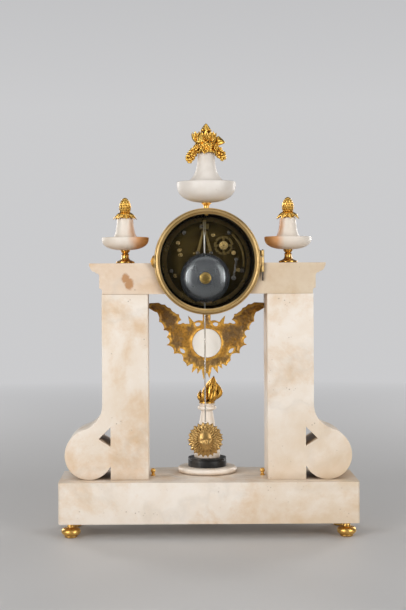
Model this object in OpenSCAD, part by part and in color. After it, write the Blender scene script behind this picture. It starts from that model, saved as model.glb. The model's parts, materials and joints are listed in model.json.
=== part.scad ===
// Portico clock in white marble with gilt mounts: two scrolled uprights on a bow-fronted
// base carry a split lintel, three urn finials and a drum with a pendulum movement.
// Origin at the middle of the footprint on the ground, +Z up, dial towards +Y.

/* [Base] */
// Width of the base
base_w = 380; // [340:1:440]
// Depth of the base at the middle of its bowed front
base_depth = 130; // [122:1:160]
// Depth of the base at its sides
base_side_depth = 100; // [96:1:110]
// Height of the marble base
base_h = 52; // [36:1:70]
// Radius of the upright corners of the base
corner_r = 4; // [2:0.5:8]

/* [Feet] */
// Height of a bun foot
foot_h = 19; // [17:0.5:30]
// Largest radius of a bun foot
foot_r = 12.3; // [10:0.1:15]
// Distance from the side of the base to the middle of a foot
foot_inset = 15; // [13:0.5:24]
// Radius of the stud that screws a foot to the base
foot_stud_r = 2.5; // [1.5:0.1:4]
// Length of a foot stud in the marble
foot_stud_l = 15; // [8:0.5:25]

/* [Uprights] */
// Distance from a scroll to the end of the base
scroll_margin = 6.5; // [2:0.1:12]
// Width of the straight pilaster
pilaster_w = 48.5; // [40:0.5:52]
// Height of an upright
upright_h = 237; // [225:1:270]
// Depth of an upright
upright_depth = 72; // [64:1:80]
// Distance from the back of the base to the back of an upright
upright_setback = 23; // [18:0.5:28]
// Thickness of the console strip beside the pilaster
strip_w = 10.5; // [8:0.5:14]
// Radius of the scroll that stands on the base
scroll_r = 31; // [27:0.5:33]
// Reach of the scroll past the pilaster
scroll_reach = 58.8; // [54:0.2:62]
// Radius of the scroll's crown
crown_r = 34.5; // [31:0.5:38]
// Radius of the hollow above the crown
throat_r = 32.3; // [25:0.1:40]
// Height of the top corner of the pierced triangle above the base
pierce_top = 67; // [62:0.5:72]
// Height of the low corner of the pierced triangle above the base
pierce_low = 42.5; // [38:0.5:48]
// Height of the outer corner of the pierced triangle above the base
pierce_mid = 52; // [49:0.5:58]
// Width of the pierced triangle
pierce_w = 15.3; // [10:0.1:18]

/* [Lintel] */
// Overhang of the lintel's frieze past the console strip
frieze_out = 2.8; // [0.5:0.1:5]
// Height of the plain foot of the lintel
bed_drop = 4; // [2:0.5:8]
// Radius of the hollow under the frieze
bed_r = 3.5; // [2:0.1:5]
// Height of the frieze
frieze_h = 15.5; // [12:0.5:24]
// Radius of the hollow over the frieze
cavetto_r = 4; // [2:0.1:6]
// Width of the small fillet in the cornice
fillet_w = 0.8; // [0.4:0.1:1.5]
// Height of the small fillet in the cornice
fillet_h = 1.5; // [0.8:0.1:3]
// Radius of the rounded moulding in the cornice
ovolo_r = 7; // [5:0.1:8]
// Width of the step under the top edge of the cornice
corona_w = 1; // [0.5:0.1:2]
// Height of the top edge of the cornice
corona_h = 4; // [2:0.5:8]

/* [Tie rods] */
// Radius of the iron rods that tie the marble together
rod_r = 3; // [2:0.1:3.5]
// Clearance round a rod in the marble
rod_clear = 0.4; // [0.2:0.1:1]
// Radius of the nut recesses under the base
nut_recess_r = 9; // [8:0.5:11]
// Depth of the nut recesses under the base
nut_recess_h = 12; // [9:0.5:18]
// Height of a square nut
nut_h = 5; // [3:0.5:7]
// Width of a square nut across its flats
nut_w = 10; // [8.5:0.5:11]

/* [Side finials] */
// Distance from the middle of a pilaster out to the axis of its urn
finial_shift = 5.55; // [2:0.05:10]
// Height of the gilt stem of a side finial
side_stem_h = 17.1; // [14:0.1:24]
// Radius of the foot of a side stem
side_stem_r = 12; // [9:0.5:14]
// Radius of the bowl of a side urn
side_bowl_r = 30.7; // [26:0.1:34]
// Height of the bowl of a side urn
side_bowl_h = 15.4; // [12:0.1:22]
// Radius of the foot of a side neck
side_neck_foot_r = 15; // [13:0.1:17]
// Radius of the top of a side neck
side_neck_top_r = 10.2; // [9:0.1:11.5]
// Height of a side neck
side_neck_h = 24.2; // [18:0.1:34]
// Radius of a pine cone
cone_r = 7.8; // [6:0.1:9]
// Height of a pine cone above its leaves
cone_h = 21; // [16:0.5:28]
// Length of a leaf in a cone's collar
cone_leaf_l = 16; // [12:0.5:18]
// Leaves in a cone's collar
cone_leaves = 9; // [7:1:11]

/* [Top finial] */
// Height of the gilt stem of the top finial above the drum
top_stem_h = 11.5; // [9:0.1:20]
// Radius of the bowl of the top urn
top_bowl_r = 38.6; // [34:0.1:44]
// Height of the bowl of the top urn
top_bowl_h = 25.2; // [18:0.1:32]
// Radius of the foot of the top neck
top_neck_foot_r = 22.5; // [19:0.1:25]
// Radius of the top of the top neck
top_neck_top_r = 10.3; // [9:0.1:12]
// Height of the top neck
top_neck_h = 36.8; // [30:0.1:50]
// Height of the bouquet above the top neck
bouquet_h = 37; // [30:0.5:46]

/* [Drum] */
// Outer radius of the drum
drum_r = 65; // [64:0.1:66]
// Wall of the drum
drum_wall = 2; // [1.2:0.1:2.4]
// Height of the drum's axis above the top of the lintel
drum_rise = 2; // [0:0.5:6]
// Clearance between the drum and the lintel
drum_fit = 0.3; // [0.1:0.1:0.8]
// Overhang of the two bezels past the drum
bezel_out = 3; // [2.4:0.1:3.6]
// Width of the back bezel's ring
back_ring_w = 7.6; // [7:0.1:9]
// Width of the front bezel's ring
front_ring_w = 11; // [9:0.1:13]
// Depth of the back bezel
back_bezel_d = 5.4; // [4.5:0.1:7]
// Depth of the front bezel
front_bezel_d = 7.4; // [6.5:0.1:9]
// Thickness of the glasses
glass_t = 1.6; // [1:0.1:2]
// Rise of the domed front glass
glass_rise = 6; // [4:0.5:8]
// Radius of a hinge knuckle
knuckle_r = 2; // [1.8:0.1:2.2]
// Radius of a hinge pin
hinge_pin_r = 1; // [0.6:0.1:1.2]
// Running clearance of pins and pivots
run_clear = 0.05; // [0.02:0.01:0.08]
// Height of the back hinge
back_hinge_h = 28; // [22:1:36]
// Height of the front hinge
front_hinge_h = 17; // [14:0.5:22]

/* [Movement] */
// Radius of the two movement plates
plate_r = 52; // [51:0.1:54]
// Thickness of a movement plate
plate_t = 2.5; // [1.8:0.1:3]
// Distance between the movement plates
plate_gap = 32; // [31.5:0.1:34]
// Module of the barrel teeth
barrel_m = 0.5; // [0.48:0.01:0.51]
// Module of the train's finer teeth
train_m = 0.45; // [0.43:0.01:0.46]
// Distance of a winding arbor from the middle of the dial, sideways
barrel_x = 20.6; // [20.4:0.1:21.2]
// Sideways place of the count wheel's arbor
count_x = 22; // [21:0.1:23]
// Radius of the count wheel
count_r = 12.6; // [11:0.1:13]
// Height of the pallet arbor above the dial's middle
pallet_rise = 37; // [36:0.1:38]
// Distance from the pallet arbor to the escape wheel
pallet_drop = 13; // [12.5:0.1:13.5]
// Radius of the escape wheel
escape_r = 8; // [7:0.1:8.2]
// Distance from the drum's wall to the edge of the enamel dial
dial_margin = 5.5; // [3:0.1:6]

/* [Bell] */
// Radius of the bell's mouth
bell_r = 32.6; // [29:0.1:33]
// Depth of the bell
bell_d = 20; // [17:0.5:21]
// Wall of the bell
bell_wall = 1.6; // [1.2:0.1:2]
// Sideways place of the bell
bell_x = -2.5; // [-4:0.1:-1]
// Drop of the bell's middle below the drum's axis
bell_drop = 21.5; // [21:0.1:23]

/* [Pendulum] */
// Sideways place of the suspension
suspension_x = -3; // [-3.4:0.1:-2.6]
// Height of the suspension pin above the drum's axis
suspension_rise = 53; // [52.6:0.1:54]
// Distance from the suspension pin to the middle of the bob
pendulum_l = 284; // [268:0.5:292]
// Radius of the pendulum rod
pendulum_r = 1; // [0.7:0.1:1.1]
// Swing of the pendulum to either side, in degrees
swing = 4.5; // [3:0.1:4.5]
// Radius of the sunburst bob at its ray tips
bob_r = 23; // [20:0.1:26]
// Rays round the bob
bob_rays = 24; // [16:1:30]

/* [Apron] */
// Height of the medallion's middle above the base
medallion_rise = 170.8; // [169:0.2:173]
// Radius of the medallion
medallion_r = 19.2; // [18:0.1:20]
// Thickness of the apron casting
apron_t = 5; // [4:0.1:7]
// Distance from the front of the uprights to the front of the casting
apron_setback = 11; // [9:0.5:14]
// Depth of the leaf teeth on the apron's edge
leaf_bite = 1.1; // [0.6:0.1:1.6]

/* [Torch] */
// Radius of the marble disc under the torch
disc_r = 39; // [36:0.1:40]
// Thickness of the disc
disc_h = 8; // [6:0.5:11]
// Radius of the black plinth
black_r = 25.2; // [23:0.1:28]
// Height of the black plinth
black_h = 12; // [9:0.5:16]
// Radius of the white plinth
socle_r = 17; // [15:0.1:19]
// Height of the white plinth
socle_h = 9; // [6:0.5:13]
// Height of the tapered shaft with its capital
shaft_h = 62; // [52:0.5:64]
// Largest radius of the shaft
shaft_r = 13.3; // [11:0.1:15]
// Least radius of the shaft
shaft_neck_r = 7.6; // [6:0.1:9]
// Height of the flame
flame_h = 36; // [28:0.5:37]
// Half width of the flame
flame_r = 14.5; // [11:0.1:16]
// Distance from the middle of the clock to the torch, forward
torch_y = 24; // [22:0.5:26]

/* [Hidden] */
$fn = 96;
cut = 1;
seat_gap = 0.3;
base_back = -base_depth / 2;
base_front = base_depth / 2;
base_top = foot_h + base_h;
bow = base_depth - base_side_depth;
bow_r = (pow(base_w / 2, 2) + bow * bow) / (2 * bow);
foot_x = base_w / 2 - foot_inset;
foot_back_y = base_back + foot_inset + 2;
foot_front_y = front_edge(foot_x) - foot_inset - 2;

upright_back = base_back + upright_setback;
upright_front = upright_back + upright_depth;
upright_mid = (upright_back + upright_front) / 2;
upright_top = base_top + upright_h;
upright_in = base_w / 2 - scroll_margin - scroll_reach - pilaster_w;
pilaster_out = upright_in + pilaster_w;
strip_out = pilaster_out + strip_w;
frieze_end = strip_out + frieze_out;
finial_x = upright_in + pilaster_w / 2 + finial_shift;
scroll_x = pilaster_out + scroll_reach - scroll_r;
scroll_z = base_top + scroll_r;
crown_x = scroll_x + scroll_r - crown_r;
throat_x = strip_out + throat_r;
throat_z = scroll_z + sqrt(pow(throat_r + crown_r, 2) - pow(throat_x - crown_x, 2));
crown_end = atan2(throat_z - scroll_z, throat_x - crown_x);
scroll_start = 180 + acos((scroll_x - pilaster_out) / scroll_r);

lintel_h = bed_drop + bed_r + frieze_h + cavetto_r + fillet_h + ovolo_r + corona_h;
lintel_top = upright_top + lintel_h;
lintel_back = upright_back - 0.5;
cornice_out = cavetto_r + fillet_w + ovolo_r + corona_w;
cornice_front = upright_front + cornice_out;

drum_z = lintel_top + drum_rise;
drum_in_r = drum_r - drum_wall;
bezel_r = drum_r + bezel_out;
back_opening_r = bezel_r - back_ring_w;
front_opening_r = bezel_r - front_ring_w;
dial_r = drum_in_r - dial_margin;
flange_t = 1.5;
flange_back = lintel_back - 0.5 - flange_t;
drum_front = cornice_front + 0.7;
back_bezel_front = flange_back - 0.2;
back_bezel_back = back_bezel_front - back_bezel_d;
front_bezel_back = drum_front + 0.3;
front_bezel_front = front_bezel_back + front_bezel_d;
hinge_x = bezel_r + knuckle_r + 0.4;
back_hinge_y = flange_back - 0.5;
front_hinge_y = drum_front + 0.1;
front_hinge_z = lintel_top + 2.5;
ledge_t = 2;
dial_plate_t = 2;
dial_t = 1.7;
dial_plate_back = drum_front - 7;
dial_back = dial_plate_back + dial_plate_t;
dial_front = dial_back + dial_t;

plate_in = dial_plate_back - 5.5 - plate_t - plate_gap;
back_plate_back = plate_in - plate_t;
front_plate_back = plate_in + plate_gap;
front_plate_front = front_plate_back + plate_t;
pressure = 20;
backlash = 0.12;
addendum = 0.8;
dedendum = 1.15;
barrel_teeth = 84;
centre_leaves = 12;
centre_teeth = 80;
third_leaves = 8;
third_teeth = 76;
escape_leaves = 8;
escape_teeth = 36;
count_teeth = 48;
cannon_leaves = 12;
minute_teeth = 36;
minute_leaves = 10;
hour_teeth = 40;
wheel_t = 1.2;
barrel_gear_t = 2.5;
barrel_r = barrel_teeth * barrel_m / 2 - 1.5;
arbor_r = 1.2;
fine_arbor_r = 0.8;
motion_arbor_r = 1;
winding_r = 2.4;
winding_square = 3.4;
winding_square_l = 5;
winding_end = dial_front + 0.8;
centre_at = [0, drum_z];
barrel_reach = (barrel_teeth + centre_leaves) * barrel_m / 2;
barrel_drop = sqrt(barrel_reach * barrel_reach - barrel_x * barrel_x);
going_at = [-barrel_x, drum_z - barrel_drop];
strike_at = [barrel_x, drum_z - barrel_drop];
count_reach = (barrel_teeth + count_teeth) * barrel_m / 2;
count_at = [count_x, strike_at[1] + sqrt(pow(count_reach, 2) - pow(count_x - barrel_x, 2))];
pallet_at = [suspension_x, drum_z + pallet_rise];
escape_at = pallet_at - [0, pallet_drop];
third_at = crossing(centre_at, (centre_teeth + third_leaves) * train_m / 2,
                    escape_at, (third_teeth + escape_leaves) * train_m / 2);
motion_m = 0.5;
motion_reach = (cannon_leaves + minute_teeth) * motion_m / 2;
hour_m = 2 * motion_reach / (minute_leaves + hour_teeth);
motion_angle = 100;
motion_at = centre_at + motion_reach * [cos(motion_angle), sin(motion_angle)];
pillar_ring = plate_r - 4.5;
pillar_angles = [52, 128, 195, 270, 345];
pillar_r = 3;
third_y = plate_in + 1.2;
strike_gear_y = plate_in + 5;
barrel_end = plate_in + 26.5;
going_gear_y = barrel_end - barrel_gear_t;
escape_y = plate_in + 8.5;
centre_y = plate_in + 28;
motion_y = front_plate_front + 0.6;
hour_y = motion_y + wheel_t + 0.5;
hour_hand_y = dial_front + 1.4;
minute_hand_y = hour_hand_y + 2;
hand_t = 0.7;
cannon_r = 2;
hour_pipe_r = 2.9;

pendulum_y = back_plate_back - 8;
suspension_z = drum_z + suspension_rise;
bob_z = suspension_z - pendulum_l;
crutch_y = back_plate_back - 3.2;
crutch_t = 1;
cock_t = 1.5;
cock_web = 0.4;
cock_y = back_plate_back - 5.6;
fork_drop = 33;
slot_half = (suspension_z - drum_z + drum_r) * tan(swing) + pendulum_r + 2;
slot_d = 11;
bell_z = drum_z - bell_drop;
bell_mouth = pendulum_y - 4;
bell_crown = bell_mouth - bell_d;
bell_post_r = 2;
stand_t = 3;
stand_y = bell_mouth - 7;
stand_foot = [bell_x - 16, bell_z - 11];
stand_r = 2.4;
nut_r = 7.5;
nut_t = 4;
hammer_at = [38, drum_z + 2];
hammer_r = 3;
hammer_y = bell_mouth - 2;
hammer_head = [bell_x + bell_r + hammer_r + 1.2, bell_z];

side_stem_top = lintel_top + side_stem_h;
side_rim = side_stem_top + side_bowl_h;
side_neck_z = side_rim + 2;
side_neck_top = side_neck_z + side_neck_h;
drum_top = drum_z + drum_r;
top_bowl_z = drum_top + top_stem_h;
top_rim = top_bowl_z + top_bowl_h;
top_neck_z = top_rim + 3.2;
top_neck_top = top_neck_z + top_neck_h;
bloom_r = 6;
core_r = 11.5;

medallion_z = base_top + medallion_rise;
apron_front = upright_front - apron_setback;
apron_back = apron_front - apron_t;
collar_r = medallion_r + 3;
hanger_w = 10.4;

disc_top = base_top + disc_h;
black_top = disc_top + black_h;
socle_top = black_top + socle_h;
shaft_top = socle_top + shaft_h;
torch_rod_r = 2.2;

// Front edge of the bowed base at a distance x from the middle
function front_edge(x) = base_front - bow_r + sqrt(bow_r * bow_r - x * x);

// Points on an arc from angle a0 to a1
function arc(x, y, r, a0, a1, n = 8) =
    [for (i = [0:n]) let (a = a0 + (a1 - a0) * i / n) [x + r * cos(a), y + r * sin(a)]];

// Full rounded side of a bowl of radius r and height h, from its middle up to its rim
function bowl_side(r, h, n = 14) =
    [for (i = [0:n]) let (a = 90 * i / n) [r * pow(sin(a), 0.8), h - h * pow(cos(a), 0.8)]];

// Hollow side of a neck that flares from top radius r1 to foot radius r0
function neck_side(r0, r1, h, fall, n = 12) =
    [for (i = [0:n]) let (z = h * i / n) [r1 + (r0 - r1) * exp(-z / fall), z]];

// Crossing of two circles, on the left of the line from the first to the second
function crossing(p, rp, q, rq) =
    let (d = norm(q - p), a = (rp * rp - rq * rq + d * d) / (2 * d), u = (q - p) / d)
    p + a * u + sqrt(rp * rp - a * a) * [-u[1], u[0]];

// Direction from one axis to another
function heading(p, q) = atan2(q[1] - p[1], q[0] - p[0]);

// Turn that sets a wheel of nb teeth in mesh with one of na teeth turned by phase
function meshed(phase, na, nb, way) = way + 180 - ((phase - way) * na / 360 + 0.5) * 360 / nb;

// Half angle of an involute tooth at radius r
function involute(a) = tan(a) * 180 / PI - a;
function tooth_half(n, m, r) =
    let (base_r = n * m / 2 * cos(pressure))
    90 / n * (1 - backlash) + involute(pressure) - (r > base_r ? involute(acos(base_r / r)) : 0);

// Outline of a toothed wheel
function toothed(n, m, phase) =
    let (pitch = n * m / 2, radii = [pitch - dedendum * m, pitch, pitch + addendum * m])
    [for (k = [0:n - 1], side = [-1, 1], j = [0:2])
        let (r = radii[side < 0 ? j : 2 - j], a = phase + 360 * k / n + side * tooth_half(n, m, r))
        r * [cos(a), sin(a)]];

// Window between two spokes
function window(r0, r1, a0, a1) = concat(arc(0, 0, r1, a0, a1, 6), arc(0, 0, r0, a1, a0, 4));

// Pointed leaf of length l and width w along +X
function leaf(l, w, n = 8) = concat(
    [for (i = [0:n]) let (t = i / n) [l * t, w / 2 * sin(180 * pow(t, 0.75))]],
    [for (i = [n - 1:-1:1]) let (t = i / n) [l * t, -w / 2 * sin(180 * pow(t, 0.75))]]);

// Half of the clock on the side s: 1 is +X, -1 is -X
module on_side(s) mirror([s < 0 ? 1 : 0, 0, 0]) children();

// Outline in the XZ plane thickened from y0 to y1
module slab(y0, y1) translate([0, y1, 0]) rotate([90, 0, 0]) linear_extrude(y1 - y0) children();

// Round bar along Y on the axis at = [x, z]
module bar(at, r, y0, y1) translate([at[0], y0, at[1]]) rotate([-90, 0, 0]) cylinder(r = r, h = y1 - y0);

// Tube along Y
module pipe(at, r_out, r_in, y0, y1) difference() {
    bar(at, r_out, y0, y1);
    bar(at, r_in, y0 - cut, y1 + cut);
}

// Profile [r, y] turned about the drum's axis
module drum_turned(points) translate([0, 0, drum_z]) rotate([-90, 0, 0]) rotate_extrude() polygon(points);

// Profile [r, z] turned about a vertical axis
module turned(at, points) translate(at) rotate_extrude() polygon(points);

// Seat on an arbor: twelve flats just clear of radius r
module seat(r) circle(r = (r + 0.01) / cos(15), $fn = 12);

// Spoked wheel with teeth on an arbor at = [x, z]
module wheel(at, n, m, phase, hub, arbor, y0, t, spokes = 5) slab(y0, y0 + t) translate(at) difference() {
    polygon(toothed(n, m, phase));
    rim = n * m / 2 - 3.2 * m;
    gap = 360 / spokes;
    for (k = [0:spokes - 1]) polygon(window(hub, rim, k * gap + 9, (k + 1) * gap - 9));
    seat(arbor);
}

// Solid pinion on an arbor
module pinion(at, n, m, phase, arbor, y0, y1) slab(y0, y1) translate(at) difference() {
    polygon(toothed(n, m, phase));
    seat(arbor);
}

// Knuckles of a hinge: a row of short tubes on a vertical axis
module knuckle(x, y, z0, z1) translate([x, y, z0]) cylinder(r = knuckle_r, h = z1 - z0);
module hinge_bore(x, y, z0, z1)
    translate([x, y, z0 - cut]) cylinder(r = hinge_pin_r + run_clear, h = z1 - z0 + 2 * cut);

module base_plinth() color("ivory") difference() {
    intersection() {
        translate([0, 0, foot_h]) linear_extrude(base_h) polygon(concat(
            arc(base_w / 2 - corner_r, base_front - corner_r, corner_r, 0, 90),
            arc(corner_r - base_w / 2, base_front - corner_r, corner_r, 90, 180),
            arc(corner_r - base_w / 2, base_back + corner_r, corner_r, 180, 270),
            arc(base_w / 2 - corner_r, base_back + corner_r, corner_r, 270, 360)));
        translate([0, base_front - bow_r, foot_h]) cylinder(r = bow_r, h = base_h, $fn = 240);
    }
    for (at = [[-finial_x, upright_mid], [finial_x, upright_mid], [0, torch_y]]) {
        translate([at[0], at[1], foot_h - cut]) cylinder(r = rod_r + rod_clear, h = base_h + 2 * cut);
        translate([at[0], at[1], foot_h - cut]) cylinder(r = nut_recess_r, h = nut_recess_h + cut);
    }
    for (at = foot_places())
        translate([at[0], at[1], foot_h - cut])
            cylinder(r = foot_stud_r + run_clear, h = foot_stud_l + 1 + cut);
    for (s = [-1, 1])
        translate([s * knob_x(), upright_mid, base_top - knob_stud_l() - cut])
            cylinder(r = knob_stud_r() + run_clear, h = knob_stud_l() + 2 * cut);
}

function foot_places() = [
    [-foot_x, foot_back_y], [foot_x, foot_back_y], [-foot_x, foot_front_y], [foot_x, foot_front_y]
];

module bun_feet() color("goldenrod") for (at = foot_places()) {
    swell = foot_r * 0.374;
    turned([at[0], at[1], 0], concat(
        [[0, 0], [foot_r * 0.6, 0], [foot_r * 0.68, foot_h * 0.06], [foot_r * 0.68, foot_h * 0.14]],
        arc(foot_r - swell, foot_h * 0.39, swell, -65, 65),
        [[foot_r * 0.45, foot_h * 0.66], [foot_r * 0.39, foot_h * 0.76], [foot_r * 0.39, foot_h * 0.85],
         [foot_r * 0.54, foot_h * 0.93], [foot_r * 0.54, foot_h], [foot_stud_r, foot_h],
         [foot_stud_r, foot_h + foot_stud_l], [0, foot_h + foot_stud_l]]));
}

module upright(s) color("ivory") on_side(s) difference() {
    slab(upright_back, upright_front) difference() {
        polygon(concat(
            [[upright_in, base_top], [pilaster_out, base_top]],
            arc(scroll_x, scroll_z, scroll_r, scroll_start, 360, 24),
            arc(crown_x, scroll_z, crown_r, 0, crown_end, 14),
            arc(throat_x, throat_z, throat_r, crown_end + 180, 180, 14),
            [[strip_out, upright_top], [upright_in, upright_top]]));
        polygon([
            [pilaster_out, base_top + pierce_low], [pilaster_out + pierce_w, base_top + pierce_mid],
            [pilaster_out, base_top + pierce_top]]);
    }
    translate([finial_x, upright_mid, base_top - cut])
        cylinder(r = rod_r + rod_clear, h = upright_h + 2 * cut);
}

module upright_left() upright(-1);
module upright_right() upright(1);

// Moulded edge of the lintel as [outward from the frieze, height]
lintel_edge = concat(
    [[-bed_r, 0]],
    arc(0, bed_drop, bed_r, 180, 90, 6),
    arc(cavetto_r, bed_drop + bed_r + frieze_h, cavetto_r, 180, 90, 6),
    [[cavetto_r + fillet_w, lintel_h - corona_h - ovolo_r - fillet_h]],
    arc(cavetto_r + fillet_w, lintel_h - corona_h, ovolo_r, -90, 0, 8),
    [[cornice_out, lintel_h - corona_h], [cornice_out, lintel_h]]);

module lintel(s) color("ivory") on_side(s) difference() {
    intersection() {
        slab(lintel_back, cornice_front)
            polygon(concat([[0, upright_top]], lintel_edge_at(frieze_end), [[0, lintel_top]]));
        rotate([90, 0, 90]) linear_extrude(frieze_end + cornice_out)
            polygon(concat(
                [[lintel_back, upright_top]], lintel_edge_at(upright_front), [[lintel_back, lintel_top]]));
    }
    bar([0, drum_z], drum_r + drum_fit, lintel_back - cut, cornice_front + cut);
    translate([finial_x, upright_mid, upright_top - cut])
        cylinder(r = rod_r + rod_clear, h = lintel_h + 2 * cut);
}

function lintel_edge_at(x) = [for (p = lintel_edge) [x + p[0], upright_top + p[1]]];

module lintel_left() lintel(-1);
module lintel_right() lintel(1);

rod_in_stem = 9;
rod_in_flame = 10;
nut_z = foot_h + nut_recess_h - nut_h;
rod_low = nut_z - 3;

module tie_rods() color("dimgray") {
    for (s = [-1, 1])
        translate([s * finial_x, upright_mid, rod_low])
            cylinder(r = rod_r, h = lintel_top + rod_in_stem - rod_low);
    translate([0, torch_y, rod_low]) cylinder(r = torch_rod_r, h = shaft_top + rod_in_flame - rod_low);
}

module tie_nuts() color("gray") for (at = [
    [-finial_x, upright_mid, rod_r], [finial_x, upright_mid, rod_r], [0, torch_y, torch_rod_r]])
    translate([at[0], at[1], nut_z]) difference() {
        linear_extrude(nut_h) square(nut_w, center = true);
        translate([0, 0, -cut]) cylinder(r = at[2] + run_clear, h = nut_h + 2 * cut);
    }

function knob_x() = upright_in - 5;
function knob_stud_r() = 1.4;
function knob_stud_l() = 6;

module base_knobs() color("goldenrod") for (s = [-1, 1])
    turned([s * knob_x(), upright_mid, base_top], concat(
        [[0, -knob_stud_l()], [knob_stud_r(), -knob_stud_l()], [knob_stud_r(), 0], [3.1, 0], [3.1, 1.2],
         [1.9, 2.2], [1.9, 3]],
        arc(0, 6.4, 3.2, -52, 90)));

// Gilt stem of a side urn: round foot, slim waist and a cup under the bowl
module side_stem(s) color("goldenrod") difference() {
    turned([s * finial_x, upright_mid, lintel_top], concat(
        [[0, 0], [side_stem_r, 0], [side_stem_r, side_stem_h * 0.12],
         [side_stem_r * 0.84, side_stem_h * 0.17]],
        arc(side_stem_r * 0.8, side_stem_h * 0.5, side_stem_r * 0.42, 245, 180, 6),
        [[side_stem_r * 0.38, side_stem_h * 0.62], [side_stem_r * 0.44, side_stem_h * 0.66],
         [side_stem_r * 0.3, side_stem_h * 0.74], [side_stem_r * 0.52, side_stem_h * 0.95],
         [side_stem_r * 0.52, side_stem_h], [0, side_stem_h]]));
    translate([s * finial_x, upright_mid, lintel_top - cut])
        cylinder(r = rod_r + run_clear, h = rod_in_stem + 0.5 + cut);
}

module side_stem_left() side_stem(-1);
module side_stem_right() side_stem(1);

// Marble bowl with a rounded rim and a gently domed top
function bowl_profile(r, h, crest, neck_r) = concat(
    bowl_side(r, h),
    arc(r - crest * 0.6, h + crest * 0.1, crest * 0.6, 20, 80, 4),
    [[neck_r, h + crest], [0, h + crest]]);

module side_bowl(s) color("ivory") turned([s * finial_x, upright_mid, side_stem_top],
    bowl_profile(side_bowl_r, side_bowl_h, side_neck_z - side_rim, side_neck_foot_r));

module side_bowl_left() side_bowl(-1);
module side_bowl_right() side_bowl(1);

// Marble neck that stands on the bowl like an upturned trumpet
function neck_profile(r0, r1, h, fall, soft) = concat(
    [[0, 0]], neck_side(r0, r1, h - soft, fall),
    arc(neck_side(r0, r1, h - soft, fall)[12][0] - soft, h - soft, soft, 15, 90, 5), [[0, h]]);

module side_neck(s) color("ivory") turned([s * finial_x, upright_mid, side_neck_z],
    neck_profile(side_neck_foot_r, side_neck_top_r, side_neck_h, 9, 1.5));

module side_neck_left() side_neck(-1);
module side_neck_right() side_neck(1);

// Gilt pine cone in a collar of drooping leaves
cone_foot_h = 7;
module pinecone(s) color("goldenrod") translate([s * finial_x, upright_mid, side_neck_top]) union() {
    rotate_extrude() polygon(concat(
        [[0, 0], [6, 0], [5, cone_foot_h * 0.4], [5.4, cone_foot_h * 0.7]],
        [for (i = [1:12]) let (t = i / 12)
            [cone_r * pow(sin(180 * pow(0.1 + 0.9 * t, 0.8)), 0.62), cone_foot_h + cone_h * (t - 0.06)]]));
    for (k = [0:cone_leaves - 1])
        rotate([0, 0, 360 * k / cone_leaves]) translate([3, 0, cone_foot_h]) rotate([0, 26, 0])
            linear_extrude(1.4) polygon(leaf(cone_leaf_l - 2, 8));
}

module pinecone_left() pinecone(-1);
module pinecone_right() pinecone(1);

// Gilt stem between the drum and the top urn, with a stud through the drum's wall
top_stud_r = 2.5;
module top_stem() color("goldenrod") difference() {
    turned([0, upright_mid, drum_top], [
        [0, -drum_wall - 3], [top_stud_r, -drum_wall - 3], [top_stud_r, -1], [9, -1], [8.4, 1.2], [5, 2.6],
        [3.7, 4.4],
        [3.7, top_stem_h - 4], [4.6, top_stem_h - 2.6], [6.4, top_stem_h - 1], [6.4, top_stem_h],
        [0, top_stem_h]]);
    difference() {
        bar([0, drum_z], drum_r, upright_mid - 12, upright_mid + 12);
        translate([0, upright_mid, drum_top - 8]) cylinder(r = top_stud_r, h = 8);
    }
}

module top_bowl() color("ivory") turned([0, upright_mid, top_bowl_z],
    bowl_profile(top_bowl_r, top_bowl_h, top_neck_z - top_rim, top_neck_foot_r));

module top_neck() color("ivory") turned([0, upright_mid, top_neck_z],
    neck_profile(top_neck_foot_r, top_neck_top_r, top_neck_h, 11, 2));

// Flower head that faces +Z: a round cup that opens to a wide rim
module bloom(r) hull() {
    sphere(r = r * 0.7, $fn = 9);
    translate([0, 0, r * 0.2]) cylinder(r = r, h = r * 0.3, $fn = 10);
    translate([0, 0, r * 0.5]) cylinder(r = r * 0.6, h = r * 0.3, $fn = 9);
}

// Long pointed leaf along +Z
module spike(l) hull() {
    cylinder(r = 1.2, h = 1, $fn = 4);
    translate([0, 0, l * 0.45]) scale([0.4, 1, 1]) sphere(r = 4, $fn = 6);
    translate([0, 0, l]) cylinder(r = 0.3, h = 0.2, $fn = 3);
}

// Gilt bunch of flowers: blooms in tiers on a core, with four drooping clusters and leaf spikes
bloom_tiers = [[0.16, 11, 6, 0, 84], [0.42, 10.5, 6, 30, 66], [0.66, 7, 4, 50, 45]];
// Blooms of a cluster: [radius, height, tilt, size]
cluster = [[15.4, 3.5, 80, 5.6], [19.2, -4.2, 100, 5.2], [21.8, -9.6, 112, 4.2]];
module top_bouquet() color("goldenrod") translate([0, upright_mid, top_neck_top]) {
    rotate_extrude($fn = 14) polygon([
        [0, 0], [core_r * 0.85, 0], [core_r * 0.7, core_r * 0.25], [core_r, core_r * 0.6],
        [core_r, bouquet_h * 0.42], [core_r * 0.6, bouquet_h * 0.74], [0, bouquet_h * 0.9]]);
    translate([0, 0, bouquet_h - bloom_r * 0.52]) bloom(bloom_r);
    for (tier = bloom_tiers, k = [0:tier[2] - 1])
        rotate([0, 0, tier[3] + 360 * k / tier[2]]) translate([tier[1], 0, bouquet_h * tier[0]])
            rotate([0, tier[4], 0]) bloom(bloom_r);
    for (k = [0:3], hung = cluster)
        rotate([0, 0, 8 + 90 * k]) translate([hung[0], 0, hung[1]]) rotate([0, hung[2], 0]) bloom(hung[3]);
    for (k = [0:5])
        rotate([0, 0, 15 + 60 * k]) translate([6, 0, bouquet_h * (k % 2 == 0 ? 0.34 : 0.56)])
            rotate([0, 64, 0]) spike(19);
}

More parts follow.
